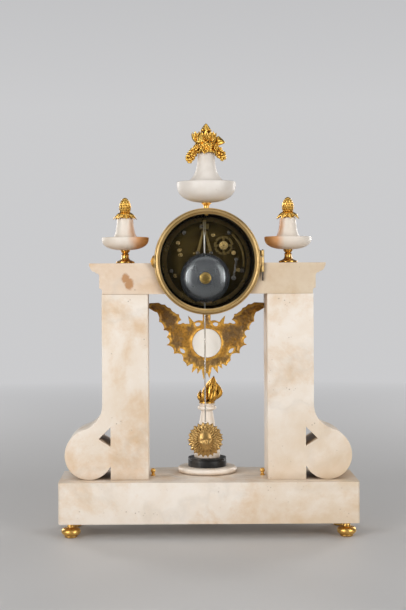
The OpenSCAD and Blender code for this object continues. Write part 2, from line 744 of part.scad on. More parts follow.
module torch_disc() color("ivory") difference() {
    turned([0, torch_y, base_top], concat(
        [[0, 0], [disc_r - disc_h / 2, 0]],
        arc(disc_r - disc_h / 2, disc_h / 2, disc_h / 2, -90, 90),
        [[0, disc_h]]));
    translate([0, torch_y, base_top - cut]) cylinder(r = torch_rod_r + rod_clear, h = disc_h + 2 * cut);
}

module torch_plinth() color("black") difference() {
    turned([0, torch_y, disc_top], [
        [0, 0], [black_r, 0], [black_r, black_h - 3.4], [black_r - 0.8, black_h - 3],
        [black_r - 0.8, black_h - 2.2],
        [black_r, black_h - 1.8], [black_r, black_h - 0.6], [black_r - 0.6, black_h], [0, black_h]]);
    translate([0, torch_y, disc_top - cut]) cylinder(r = torch_rod_r + rod_clear, h = black_h + 2 * cut);
}

// Marble socle, tapered shaft and capital turned in one
module torch_shaft() color("ivory") difference() {
    turned([0, torch_y, black_top], concat(
        [[0, 0], [socle_r, 0], [socle_r, socle_h], [shaft_r * 0.94, socle_h + 1.4]],
        arc(shaft_r * 0.9, socle_h + 4, shaft_r * 0.2, -70, 70, 5),
        [[shaft_r * 0.7, socle_h + 8]],
        [for (i = [0:8]) let (t = i / 8)
            [shaft_r + (shaft_neck_r - shaft_r) * pow(t, 1.3) - 2.6 * pow(1 - t, 5),
             socle_h + 12 + (shaft_h - 22) * t]],
        [[shaft_neck_r + 2.4, socle_h + shaft_h - 8.6]],
        arc(shaft_neck_r + 2.4, socle_h + shaft_h - 6, 2.6, -90, 90, 6),
        [[shaft_neck_r + 1.6, socle_h + shaft_h - 2.6], [shaft_neck_r + 3.4, socle_h + shaft_h],
         [0, socle_h + shaft_h]]));
    translate([0, torch_y, black_top - cut])
        cylinder(r = torch_rod_r + rod_clear, h = socle_h + shaft_h + 2 * cut);
}

// Gilt flame: five tongues that twist and lean to one side as they rise
flame_rings = 12;
flame_sides = 30;
flame_ring_h = 6;
flame_lean = 9.5;
function flame_r_at(t, a) =
    flame_r * pow(sin(180 * pow(0.16 + 0.84 * t, 0.62)), 0.9) * (1 + 0.2 * cos(5 * a + 150 * t));
function flame_ring(t) = [for (k = [0:flame_sides - 1]) let (a = 360 * k / flame_sides)
    [flame_r_at(t, a) * cos(a) + flame_lean * t, 0.75 * flame_r_at(t, a) * sin(a),
     flame_ring_h + (flame_h - flame_ring_h) * (t + 0.09 * sin(180 * t) * cos(3 * a - 40))]];

module torch_flame() color("goldenrod") translate([0, torch_y, shaft_top]) difference() {
    union() {
        cylinder(r = shaft_neck_r + 2.6, h = 2.4);
        translate([0, 0, 2.4]) cylinder(r1 = shaft_neck_r, r2 = shaft_neck_r - 1.2, h = flame_ring_h - 1.9);
        polyhedron(
            points = concat(
                [for (i = [0:flame_rings - 1]) each flame_ring(i / flame_rings)],
                [[0, 0, flame_ring_h], [flame_lean, 0, flame_h]]),
            faces = concat(
                [for (i = [0:flame_rings - 2], k = [0:flame_sides - 1])
                    let (a = i * flame_sides + k, b = i * flame_sides + (k + 1) % flame_sides)
                    each [[a, a + flame_sides, b], [b, a + flame_sides, b + flame_sides]]],
                [for (k = [0:flame_sides - 1]) [k, (k + 1) % flame_sides, flame_rings * flame_sides]],
                [for (k = [0:flame_sides - 1]) let (a = (flame_rings - 1) * flame_sides)
                    [a + (k + 1) % flame_sides, a + k, flame_rings * flame_sides + 1]]));
    }
    translate([0, 0, -cut]) cylinder(r = torch_rod_r + run_clear, h = rod_in_flame + 0.5 + cut);
}

// Cast apron: a ring for the medallion, two leafy arms to the uprights, a spray of leaves below,
// a ribbon bow above and a strip that hangs it from the drum.
// Edges of an arm from the upright inwards: across in shares of its span, up in medallion radii
arm_lap = 3;
arm_low = [
    [3.54, 2.16], [3.33, 2], [3.28, 1.48], [2.99, 1.25], [2.97, 0.89], [2.6, 0.78], [2.76, 0.42],
    [2.53, 0.13], [2.79, -0.13], [2.34, -0.31], [2.27, -0.73], [1.72, -0.76], [1.64, -1.2],
    [1.35, -1.59], [0.81, -1.4]];
arm_high = [
    [3.28, 2.79], [2.86, 2.66], [2.47, 2.4], [2.19, 2.11], [1.9, 2], [1.72, 1.59], [2, 1.33],
    [1.61, 1.41], [1.3, 1.34]];
arm_end = upright_in - seat_gap;
arm_span = 3.95;
function on_apron(p) = [0, medallion_z] + medallion_r * p;
function on_arm(p) = [arm_end * p[0] / arm_span, on_apron(p)[1]];

// Leafy edge: a bite out of the middle of every step of the outline p, on its inner side
function bitten(p, side) = concat(
    [for (i = [0:len(p) - 2]) let (d = (p[i + 1] - p[i]) / norm(p[i + 1] - p[i]))
        each [p[i], (p[i] + p[i + 1]) / 2 + side * leaf_bite * [d[1], -d[0]]]],
    [p[len(p) - 1]]);

module apron_arm() difference() {
    low = bitten([for (p = arm_low) on_arm(p)], 1);
    high = bitten([for (p = arm_high) on_arm(p)], -1);
    polygon(concat(
        [[arm_end, on_apron([0, 2.4])[1]]], low,
        [on_apron([0, -1.2]) - [arm_lap, 0], on_apron([0, 0.9]) - [arm_lap, 0]],
        [for (i = [len(high) - 1:-1:0]) high[i]], [[arm_end, on_apron([0, 2.76])[1]]]));
    translate(on_arm([1.51, -0.68])) rotate(43) polygon(leaf(medallion_r * 0.5, medallion_r * 0.24));
}

// Leaves of the spray under the medallion: [angle, length in medallion radii]
spray = [[-117, 1.69], [-107, 1.61], [-95, 1.91], [-86, 1.82], [-70, 1.61], [-59, 1.46]];
module apron_mount() color("peru") difference() {
    union() {
        for (s = [-1, 1]) on_side(s) {
            slab(apron_back, apron_front) apron_arm();
            slab(apron_back, apron_front) translate(on_apron([0.15, 1.42])) rotate(-16) difference() {
                polygon(leaf(medallion_r * 1.1, medallion_r * 0.52));
                translate([medallion_r * 0.26, 0]) polygon(leaf(medallion_r * 0.62, medallion_r * 0.26));
            }
            slab(apron_back, apron_front) translate(on_apron([0.68, 0.68])) rotate(64)
                polygon(leaf(medallion_r * 1.36, medallion_r * 0.36));
        }
        for (frond = spray)
            slab(apron_back, apron_front) translate([0, medallion_z]) rotate(frond[0])
                translate([medallion_r * 0.62, 0]) polygon(leaf(medallion_r * frond[1], medallion_r * 0.5));
        bar([0, medallion_z], collar_r, apron_back, apron_front);
        slab(apron_back, apron_front) translate([-hanger_w / 2, medallion_z])
            square([hanger_w, drum_z - drum_r - medallion_z + 0.4]);
    }
    bar([0, medallion_z], medallion_r + run_clear, apron_back - cut, apron_back + apron_t * 0.6);
    bar([0, drum_z], drum_r, apron_back - cut, apron_front + cut);
}

module apron_medallion() color("white") translate([0, apron_back, medallion_z]) rotate([-90, 0, 0])
    rotate_extrude() polygon(concat(
        [[0, apron_t * 0.6], [medallion_r, apron_t * 0.6], [medallion_r, 0.6], [medallion_r - 0.6, 0]],
        [[0, 0]]));

// Brass drum with a rear flange, a ledge for the dial plate, hinge lugs and a slot for the pendulum
module drum_shell() color("darkgoldenrod") difference() {
    union() {
        drum_turned([
            [back_opening_r + 1.1, flange_back], [bezel_r, flange_back], [bezel_r, flange_back + flange_t],
            [drum_r, flange_back + flange_t], [drum_r, drum_front], [drum_in_r, drum_front],
            [drum_in_r, dial_plate_back], [drum_in_r - 3.5, dial_plate_back],
            [drum_in_r - 3.5, dial_plate_back - ledge_t], [drum_in_r, dial_plate_back - ledge_t],
            [drum_in_r, flange_back + flange_t], [back_opening_r + 1.1, flange_back + flange_t]]);
        for (part = back_fixed_knuckles()) {
            knuckle(hinge_x, back_hinge_y, part[0], part[1]);
            translate([bezel_r - 4, flange_back, part[0]])
                cube([hinge_x - bezel_r + 4, flange_t, part[1] - part[0]]);
        }
        difference() {
            for (part = front_fixed_knuckles()) {
                knuckle(hinge_x, front_hinge_y, part[0], part[1]);
                translate([drum_r - 5, drum_front - 2, part[0]])
                    cube([hinge_x - drum_r + 5, 2, part[1] - part[0]]);
            }
            bar([0, drum_z], drum_r - 0.2, drum_front - 3, drum_front + 3);
        }
    }
    hinge_bore(hinge_x, back_hinge_y, drum_z - back_hinge_h, drum_z + back_hinge_h);
    hinge_bore(hinge_x, front_hinge_y, front_hinge_z, front_hinge_z + front_hinge_h);
    translate([suspension_x - slot_half, pendulum_y - slot_d / 2, drum_z - drum_r - cut])
        cube([2 * slot_half, slot_d, drum_wall + 6]);
    translate([0, upright_mid, drum_top - drum_wall - cut])
        cylinder(r = top_stud_r + run_clear, h = drum_wall + 2 * cut);
}

knuckle_gap = 0.3;
function knuckle_span(z0, h, from, to) = [z0 + h * from + knuckle_gap / 2, z0 + h * to - knuckle_gap / 2];
function back_fixed_knuckles() = [
    knuckle_span(drum_z - back_hinge_h / 2, back_hinge_h, 0, 0.3),
    knuckle_span(drum_z - back_hinge_h / 2, back_hinge_h, 0.7, 1)];
function front_fixed_knuckles() = [
    knuckle_span(front_hinge_z, front_hinge_h, 0, 0.3), knuckle_span(front_hinge_z, front_hinge_h, 0.7, 1)];

// Hinged back bezel: a stepped ring with a rebate for the glass, a hinge leaf and a thumb tab
back_rebate = back_bezel_front - glass_t - 0.2;
tab_out = 4.6;
tab_root = 2.5;
tab_h = 16;
module back_bezel() color("gold") difference() {
    union() {
        drum_turned(concat(
            [[back_opening_r + 1.5, back_bezel_front], [bezel_r, back_bezel_front]],
            arc(bezel_r - 1.6, back_bezel_front - 1.6, 1.6, 0, -80, 5),
            [[bezel_r - 1.8, back_bezel_front - 2.4]],
            arc(bezel_r - 3.6, back_bezel_back + 2, 2, 0, -150, 7),
            [[back_opening_r, back_rebate - 1], [back_opening_r, back_rebate],
             [back_opening_r + 1.5, back_rebate]]));
        back_leaf();
        translate([-bezel_r, back_bezel_front - 2.4, drum_z]) rotate([90, 0, 0]) rotate([0, 0, 180])
            linear_extrude(2) translate([-tab_root, 0]) polygon(leaf(tab_out + tab_root, tab_h));
    }
    hinge_bore(hinge_x, back_hinge_y, drum_z - back_hinge_h, drum_z + back_hinge_h);
}

module back_leaf() {
    span = knuckle_span(drum_z - back_hinge_h / 2, back_hinge_h, 0.3, 0.7);
    knuckle(hinge_x, back_hinge_y, span[0], span[1]);
    translate([bezel_r - 2, back_bezel_front - 1.4, span[0]])
        cube([hinge_x - bezel_r + 2, 1.4, span[1] - span[0]]);
}

module back_glass() color("lightcyan") drum_turned([
    [0, back_rebate + 0.1], [back_opening_r + 1.3, back_rebate + 0.1],
    [back_opening_r + 1.3, back_rebate + 0.1 + glass_t], [0, back_rebate + 0.1 + glass_t]]);

module back_hinge_pin() color("sienna")
    translate([hinge_x, back_hinge_y, drum_z - back_hinge_h / 2 - 11])
        cylinder(r = hinge_pin_r, h = back_hinge_h + 12);

// Hinged front bezel: an ogee ring that holds the domed glass behind its lip
bezel_lip_y = 2.6;
module front_bezel() color("gold") difference() {
    union() {
        drum_turned(concat(
            [[front_opening_r + 2, front_bezel_back], [bezel_r, front_bezel_back]],
            arc(bezel_r - 2, front_bezel_back + 2, 2, 0, 80, 5),
            [[bezel_r - 2.4, front_bezel_back + 4.4]],
            arc(bezel_r - 5, front_bezel_front - 2.6, 2.6, 0, 150, 7),
            [[front_opening_r, front_bezel_back + bezel_lip_y + 1.2],
             [front_opening_r, front_bezel_back + bezel_lip_y],
             [front_opening_r + 2, front_bezel_back + bezel_lip_y]]));
        front_leaf();
    }
    hinge_bore(hinge_x, front_hinge_y, front_hinge_z, front_hinge_z + front_hinge_h);
}

module front_leaf() {
    span = knuckle_span(front_hinge_z, front_hinge_h, 0.3, 0.7);
    knuckle(hinge_x, front_hinge_y, span[0], span[1]);
    difference() {
        translate([bezel_r - 4, front_bezel_back, span[0]])
            cube([hinge_x - bezel_r + 4, 1.6, span[1] - span[0]]);
        bar([0, drum_z], bezel_r - 1, front_bezel_back - cut, front_bezel_back + 3);
    }
}

glass_r = front_opening_r + 1.8;
glass_sphere_r = (glass_r * glass_r + glass_rise * glass_rise) / (2 * glass_rise);
glass_seat = front_bezel_back + bezel_lip_y - glass_t - 0.45;
function dome(r, n) = let (edge = asin(glass_r / glass_sphere_r))
    [for (i = [0:n]) let (a = edge * (1 - i / n))
        [r * sin(a), glass_seat + glass_rise - glass_sphere_r + r * cos(a)]];
module front_glass() color("lightcyan") drum_turned(concat(
    [for (p = dome(glass_sphere_r, 10)) [p[0], p[1]]],
    [for (i = [10:-1:0]) dome(glass_sphere_r, 10)[i] + [0, glass_t]]));

module front_hinge_pin() color("sienna")
    translate([hinge_x, front_hinge_y, front_hinge_z - 1.5])
        cylinder(r = hinge_pin_r, h = front_hinge_h + 3);

// Holes through the dial for the hands and the two winding arbors
module dial_holes(y0, y1) {
    bar(centre_at, hour_pipe_r + 0.4, y0 - cut, y1 + cut);
    for (at = [going_at, strike_at]) bar(at, winding_r + 1, y0 - cut, y1 + cut);
}

// Brass plate behind the enamel, on three feet that stand on the movement
dial_foot_ring = 40;
dial_foot_r = 2.2;
module dial_plate() color("goldenrod") difference() {
    union() {
        drum_turned([
            [0, dial_plate_back], [drum_in_r - 0.2, dial_plate_back], [drum_in_r - 0.2, dial_back],
            [0, dial_back]]);
        for (a = [0, 145, 235])
            bar(centre_at + dial_foot_ring * [cos(a), sin(a)], dial_foot_r,
                front_plate_front, dial_plate_back + dial_plate_t / 2);
    }
    dial_holes(front_plate_front, dial_back);
}

module dial() color("white") difference() {
    drum_turned([
        [0, dial_back], [dial_r, dial_back], [dial_r, dial_front - 0.5], [dial_r - 0.8, dial_front],
        [0, dial_front]]);
    dial_holes(dial_back, dial_front);
}

// Openwork hand outline that points up from the axis
module hand(l, eye) difference() {
    union() {
        circle(r = 4.2, $fn = 40);
        rotate(90) polygon(leaf(l, 4.4));
        translate([0, l * 0.56]) circle(r = eye, $fn = 40);
        translate([0, l * 0.56 + eye]) rotate(90) polygon(leaf(eye * 1.6, eye * 1.3));
    }
    translate([0, l * 0.56]) circle(r = eye * 0.62, $fn = 32);
}

hour_turn = -50;
minute_turn = 60;
hour_reach = dial_r * 0.574;
minute_reach = dial_r * 0.87;
module hour_hand() color("goldenrod") {
    slab(hour_hand_y, hour_hand_y + hand_t) translate(centre_at) rotate(hour_turn) difference() {
        hand(hour_reach, 4.6);
        circle(r = hour_pipe_r + 0.01);
    }
    pipe(centre_at, hour_pipe_r, cannon_r + run_clear + 0.03, hour_y, hour_hand_y + hand_t + 0.4);
    wheel(centre_at, hour_teeth, hour_m,
          meshed(minute_phase, minute_leaves, hour_teeth, heading(motion_at, centre_at)),
          4.2, hour_pipe_r, hour_y, wheel_t);
}

cannon_phase = 0;
minute_phase = meshed(cannon_phase, cannon_leaves, minute_teeth, motion_angle);
module minute_hand() color("goldenrod") {
    slab(minute_hand_y, minute_hand_y + hand_t) translate(centre_at) rotate(minute_turn) difference() {
        hand(minute_reach, 4);
        circle(r = cannon_r + 0.01);
    }
    pipe(centre_at, cannon_r, arbor_r + run_clear, motion_y - 0.3, minute_hand_y + hand_t + 0.4);
    pinion(centre_at, cannon_leaves, motion_m, cannon_phase, cannon_r, motion_y, motion_y + wheel_t);
}

module minute_wheel() color("goldenrod") {
    wheel(motion_at, minute_teeth, motion_m, minute_phase, 3, motion_arbor_r, motion_y, wheel_t, 4);
    pinion(motion_at, minute_leaves, hour_m, minute_phase, motion_arbor_r, hour_y - 0.2, hour_y + wheel_t);
    bar(motion_at, motion_arbor_r, front_plate_back + 0.4, hour_y + wheel_t + 0.4);
}

// Arbors that run through the plates, as [axis, radius]
pivots = [
    [centre_at, arbor_r], [third_at, fine_arbor_r], [escape_at, fine_arbor_r],
    [going_at, winding_r], [strike_at, winding_r], [count_at, arbor_r]
];

module plate_holes(y0, y1) {
    for (p = pivots) bar(p[0], p[1] + run_clear, y0 - cut, y1 + cut);
}

module front_plate() color("darkgoldenrod") difference() {
    bar(centre_at, plate_r, front_plate_back, front_plate_front);
    plate_holes(front_plate_back, front_plate_front);
    bar(pallet_at, fine_arbor_r + run_clear, front_plate_back - cut, front_plate_front + cut);
    bar(motion_at, motion_arbor_r + run_clear, front_plate_back - cut, front_plate_front + cut);
}

module back_plate() color("darkgoldenrod") difference() {
    bar(centre_at, plate_r, back_plate_back, plate_in);
    plate_holes(back_plate_back, plate_in);
    bar(pallet_at, fine_arbor_r + 2.2, back_plate_back - cut, plate_in + cut);
    bar(hammer_at, arbor_r + run_clear, back_plate_back - cut, plate_in + cut);
}

module plate_pillars() color("goldenrod") for (a = pillar_angles)
    translate([pillar_ring * cos(a), plate_in, drum_z + pillar_ring * sin(a)]) rotate([-90, 0, 0])
        rotate_extrude() polygon([
            [0, 0], [pillar_r, 0], [pillar_r, 2], [pillar_r * 0.7, 4], [pillar_r * 0.8, plate_gap / 2],
            [pillar_r * 0.7, plate_gap - 4], [pillar_r, plate_gap - 2], [pillar_r, plate_gap],
            [0, plate_gap]]);

// Spring barrel turning on its winding arbor, with its toothed ring riveted to one end
rivet_gap = 0.02;
module barrel_body(at, y0, y1) difference() {
    bar(at, barrel_r, y0, y1);
    bar(at, winding_r + run_clear, y0 - cut, y1 + cut);
}

module barrel_gear(at, phase, y0) slab(y0, y0 + barrel_gear_t) translate(at) difference() {
    polygon(toothed(barrel_teeth, barrel_m, phase));
    seat(winding_r + run_clear);
}

centre_phase = 0;
going_phase = meshed(centre_phase, centre_leaves, barrel_teeth, heading(centre_at, going_at));
count_phase = 0;
strike_phase = meshed(count_phase, count_teeth, barrel_teeth, heading(count_at, strike_at));

module going_barrel() color("goldenrod") {
    barrel_body(going_at, strike_gear_y, going_gear_y - rivet_gap);
    barrel_gear(going_at, going_phase, going_gear_y);
}

module strike_barrel() color("goldenrod") {
    barrel_gear(strike_at, strike_phase, strike_gear_y);
    barrel_body(strike_at, strike_gear_y + barrel_gear_t + rivet_gap, barrel_end);
}

// Winding arbor whose square for the key stands in its hole in the dial, under the hands
module winding_arbor(at) {
    bar(at, winding_r, back_plate_back, winding_end - winding_square_l);
    slab(winding_end - winding_square_l, winding_end)
        translate(at) square(winding_square, center = true);
}

module going_arbor() color("silver") winding_arbor(going_at);
module strike_arbor() color("silver") winding_arbor(strike_at);

module centre_wheel() color("goldenrod") {
    wheel(centre_at, centre_teeth, train_m, 0, 4, arbor_r, centre_y, wheel_t);
    pinion(centre_at, centre_leaves, barrel_m, centre_phase, arbor_r, going_gear_y - 0.5, barrel_end + 0.5);
    bar(centre_at, arbor_r, back_plate_back, minute_hand_y + hand_t + 1.4);
}

third_pinion_phase = meshed(0, centre_teeth, third_leaves, heading(centre_at, third_at));
escape_pinion_phase = meshed(0, third_teeth, escape_leaves, heading(third_at, escape_at));
module third_wheel() color("goldenrod") {
    wheel(third_at, third_teeth, train_m, 0, 3.4, fine_arbor_r, third_y, wheel_t);
    pinion(third_at, third_leaves, train_m, third_pinion_phase, fine_arbor_r,
           centre_y - 0.5, centre_y + wheel_t + 0.5);
    bar(third_at, fine_arbor_r, back_plate_back, front_plate_front);
}

// Escape wheel with pointed, raked teeth
module escape_wheel() color("gold") {
    slab(escape_y, escape_y + 0.9) translate(escape_at) difference() {
        polygon([for (k = [0:escape_teeth - 1], j = [0:2])
            let (a = 360 * (k + [0, 0.62, 0.72][j]) / escape_teeth, r = escape_r - (j == 0 ? 1.5 : 0))
            r * [cos(a), sin(a)]]);
        for (k = [0:3]) polygon(window(2.2, escape_r - 2.7, k * 90 + 10, k * 90 + 80));
        seat(fine_arbor_r);
    }
    pinion(escape_at, escape_leaves, train_m, escape_pinion_phase, fine_arbor_r,
           third_y - 0.4, third_y + wheel_t + 0.4);
    bar(escape_at, fine_arbor_r, back_plate_back, front_plate_front);
}

// Pallets and crutch on one arbor: the fork at the end of the crutch steers the pendulum rod
fork_gap = 0.5;
fork_t = 1.2;
pallet_clear = 1.9;
module pallet_crutch() color("silver") {
    bar(pallet_at, fine_arbor_r, cock_y + cock_web + run_clear, front_plate_front);
    slab(escape_y, escape_y + 0.9) difference() {
        union() {
            translate(pallet_at) circle(r = 2.4, $fn = 40);
            intersection() {
                translate(escape_at) difference() {
                    circle(r = escape_r + pallet_clear + 2);
                    circle(r = escape_r + pallet_clear);
                }
                translate(pallet_at - [9, 11]) square([18, 11]);
            }
            translate(pallet_at - [1.2, pallet_drop - escape_r - pallet_clear - 1])
                square([2.4, pallet_drop - escape_r - pallet_clear - 1]);
        }
        translate(pallet_at) seat(fine_arbor_r);
    }
    slab(crutch_y, crutch_y + crutch_t) difference() {
        union() {
            translate(pallet_at) circle(r = 2, $fn = 40);
            translate(pallet_at - [0.8, fork_drop]) square([1.6, fork_drop]);
            translate(pallet_at - [3.2, fork_drop + 1.6]) square([6.4, 2.4]);
        }
        translate(pallet_at) seat(fine_arbor_r);
    }
    for (s = [-1, 1])
        translate([
            pallet_at[0] + s * (pendulum_r + fork_gap + fork_t / 2) - fork_t / 2,
            pendulum_y - 2, pallet_at[1] - fork_drop - 1.6])
            cube([fork_t, crutch_y - pendulum_y + 2, 2.4]);
}

// Bridge on the back plate that carries the pallet arbor, shaped like an A
cock_foot = [8.6, 26];
module pallet_cock() color("gold") difference() {
    union() {
        slab(cock_y, cock_y + cock_t) {
            translate(pallet_at) circle(r = 4, $fn = 48);
            for (s = [-1, 1]) polygon([
                pallet_at + [s * 0.6, -1], pallet_at + [s * 3.6, -1],
                pallet_at + [s * (cock_foot[0] + 2), -cock_foot[1]],
                pallet_at + [s * (cock_foot[0] - 2), -cock_foot[1]]]);
        }
        for (s = [-1, 1]) bar(pallet_at + [s * cock_foot[0], -cock_foot[1]], 2.6, cock_y, back_plate_back);
    }
    bar(pallet_at, fine_arbor_r + run_clear, cock_y + cock_web, cock_y + cock_t + cut);
}

// Suspension cock: a block on the plate with a post and the pin that the silk hangs from
pin_r = 1;
module suspension_cock() color("gold") {
    translate([suspension_x - 6, back_plate_back - 4.5, pallet_at[1] + 5]) cube([12, 4.5, 7]);
    translate([suspension_x - 2.4, back_plate_back - 4.5, pallet_at[1] + 12])
        cube([4.8, 3, suspension_z - pallet_at[1] - 12 + 2.2]);
    bar([suspension_x, suspension_z], pin_r, pendulum_y - 2.4, back_plate_back - 4.5);
    bar([suspension_x, suspension_z], pin_r + 0.8, pendulum_y - 3.2, pendulum_y - 2.4);
}

// Loop of silk between the pin and the hook of the rod
silk_t = 0.7;
silk_low = suspension_z - 16;
silk_eye_r = pin_r + run_clear + silk_t;
module suspension_silk() color("linen") slab(pendulum_y - silk_t / 2, pendulum_y + silk_t / 2)
    translate([suspension_x, 0]) difference() {
        union() {
            translate([0, suspension_z]) circle(r = silk_eye_r, $fn = 40);
            for (s = [-1, 1])
                translate([s * (pin_r + run_clear) - silk_t / 2, silk_low])
                    square([silk_t, suspension_z - silk_low]);
            translate([-silk_eye_r, silk_low - 2.4]) square([2 * silk_eye_r, 3]);
        }
        translate([0, suspension_z]) circle(r = pin_r + run_clear, $fn = 40);
    }

bob_hub_r = bob_r * 0.6;
module pendulum_rod() color("darkgoldenrod") union() {
    translate([suspension_x, pendulum_y, bob_z + bob_hub_r * 0.5])
        cylinder(r = pendulum_r, h = silk_low - 2.4 - bob_z - bob_hub_r * 0.5);
    translate([suspension_x, pendulum_y, bob_z + bob_hub_r * 0.4]) cylinder(r = pendulum_r + 0.8, h = 5);
}

// Sunburst bob: a disc of pointed rays that carries a shallow domed mask
bob_t = 1.6;
module sun_mask() color("gold") difference() {
    union() {
        slab(pendulum_y - bob_t / 2, pendulum_y + bob_t / 2) translate([suspension_x, bob_z])
            polygon([for (k = [0:bob_rays - 1], j = [0:3])
                let (a = 360 * (k + j / 4) / bob_rays,
                     r = j == 0 ? bob_r * 0.8 : j == 2 ? bob_r * (k % 2 == 0 ? 1 : 0.93) : bob_r * 0.9)
                r * [cos(a), sin(a)]]);
        translate([suspension_x, pendulum_y, bob_z]) rotate([90, 0, 0]) rotate_extrude() polygon(concat(
            [[0, 0], [bob_hub_r, 0], [bob_hub_r, bob_t / 2]],
            [for (i = [0:8]) let (a = 90 * i / 8) [bob_hub_r * cos(a) * 0.98, bob_t / 2 + 4.4 * sin(a)]]));
    }
    translate([suspension_x, pendulum_y, bob_z + bob_hub_r * 0.4 - seat_gap])
        cylinder(r = pendulum_r + 0.8 + run_clear, h = bob_r);
}

// Count wheel outside the back plate, on an arbor that the strike barrel turns
count_boss_r = 5.6;
module count_wheel() color("gold") {
    slab(back_plate_back - 3.6, back_plate_back - 2.4) translate(count_at) difference() {
        circle(r = count_r);
        for (hour = [1:12]) rotate(-360 * (hour * (hour + 1) / 2) / 78)
            translate([count_r - 1.8, -0.7]) square([4, 1.4]);
        for (k = [0:3]) polygon(window(count_boss_r + 0.6, count_r - 3, 90 * k + 10, 90 * k + 80));
        seat(arbor_r);
    }
    pipe(count_at, count_boss_r, arbor_r + 0.01, back_plate_back - 6.4, back_plate_back - 3.6);
    pinion(count_at, count_teeth, barrel_m, count_phase, arbor_r,
           strike_gear_y - 0.4, strike_gear_y + barrel_gear_t + 0.4);
    bar(count_at, arbor_r, back_plate_back - 7, front_plate_front);
}

// Steel stand that carries the bell from the back plate
module bell_stand() color("gray") union() {
    bar(stand_foot, stand_r, stand_y, back_plate_back);
    bar(stand_foot, stand_r + 2, back_plate_back - 1.6, back_plate_back);
    slab(stand_y, stand_y + stand_t) union() {
        translate(stand_foot) circle(r = stand_r + 0.6);
        translate([bell_x, bell_z]) circle(r = stand_r + 1.6);
        polygon([
            stand_foot + [-1.2, 1.8], stand_foot + [1.2, -1.8],
            [bell_x + 1.2, bell_z - 1.8], [bell_x - 1.2, bell_z + 1.8]]);
    }
    bar([bell_x, bell_z], stand_r + 1.6, bell_crown + bell_wall + 0.05, stand_y + 1);
    bar([bell_x, bell_z], bell_post_r, bell_crown - nut_t + 0.6, stand_y);
}

// Bell: a full-shouldered cup with its mouth to the plate
bell_full = 0.62;
function bell_curve(r, d, n = 12) =
    [for (i = [0:n]) let (a = 90 * i / n) [r * pow(sin(a), bell_full), -d * pow(cos(a), bell_full)]];
module bell() color("slategray") translate([bell_x, bell_mouth, bell_z]) rotate([-90, 0, 0])
    rotate_extrude() polygon(concat(
        [[bell_post_r + 0.1, -bell_d]],
        [for (p = bell_curve(bell_r, bell_d)) if (p[0] > bell_post_r + 0.4) p],
        [for (i = [12:-1:0]) let (p = bell_curve(bell_r - bell_wall, bell_d - bell_wall)[i])
            if (p[0] > bell_post_r + 0.4) p],
        [[bell_post_r + 0.1, -bell_d + bell_wall]]));

module bell_nut() color("goldenrod")
    translate([bell_x, bell_crown, bell_z]) rotate([90, 0, 0]) difference() {
    rotate_extrude() polygon(concat(
        [[0, 0.05], [nut_r * 0.8, 0.05], [nut_r, 1], [nut_r, 1.8]],
        [for (i = [1:6]) let (a = 90 * i / 6) [nut_r * cos(a), 1.8 + (nut_t - 1.8) * sin(a)]]));
    translate([0, 0, -cut]) cylinder(r = bell_post_r + run_clear, h = nut_t - 0.5 + cut);
}

// Hammer that swings out from the bell's rim on its own arbor
module hammer() color("silver") union() {
    bar(hammer_at, arbor_r, hammer_y - 2, plate_in);
    slab(hammer_y - 1, hammer_y + 1) union() {
        translate(hammer_at) circle(r = 2.6, $fn = 40);
        polygon([
            hammer_at + [-1.2, 0], hammer_at + [1.2, 0], hammer_head + [1.2, 0], hammer_head + [-1.2, 0]]);
    }
    bar(hammer_head, hammer_r, hammer_y - 2.6, hammer_y + 2.6);
}

base_plinth();
bun_feet();
upright_left();
upright_right();
lintel_left();
lintel_right();
tie_rods();
tie_nuts();
base_knobs();
side_stem_left();
side_stem_right();
side_bowl_left();
side_bowl_right();
side_neck_left();
side_neck_right();
pinecone_left();
pinecone_right();
top_stem();
top_bowl();
top_neck();
top_bouquet();
torch_disc();
torch_plinth();
torch_shaft();
torch_flame();
apron_mount();
apron_medallion();
drum_shell();
back_bezel();
back_glass();
back_hinge_pin();
front_bezel();
front_glass();
front_hinge_pin();
dial_plate();
dial();
hour_hand();
minute_hand();
minute_wheel();
front_plate();
back_plate();
plate_pillars();
going_barrel();
strike_barrel();
going_arbor();
strike_arbor();
centre_wheel();
third_wheel();
escape_wheel();
pallet_crutch();
pallet_cock();
suspension_cock();
suspension_silk();
pendulum_rod();
sun_mask();
count_wheel();
bell_stand();
bell();
bell_nut();
hammer();
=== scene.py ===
# Portico clock in white marble and gilt bronze, shown from behind as in the photograph.
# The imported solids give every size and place; each section finishes one piece or group of like pieces.
import json
import math

import bpy
from mathutils import Matrix, Vector, kdtree, noise

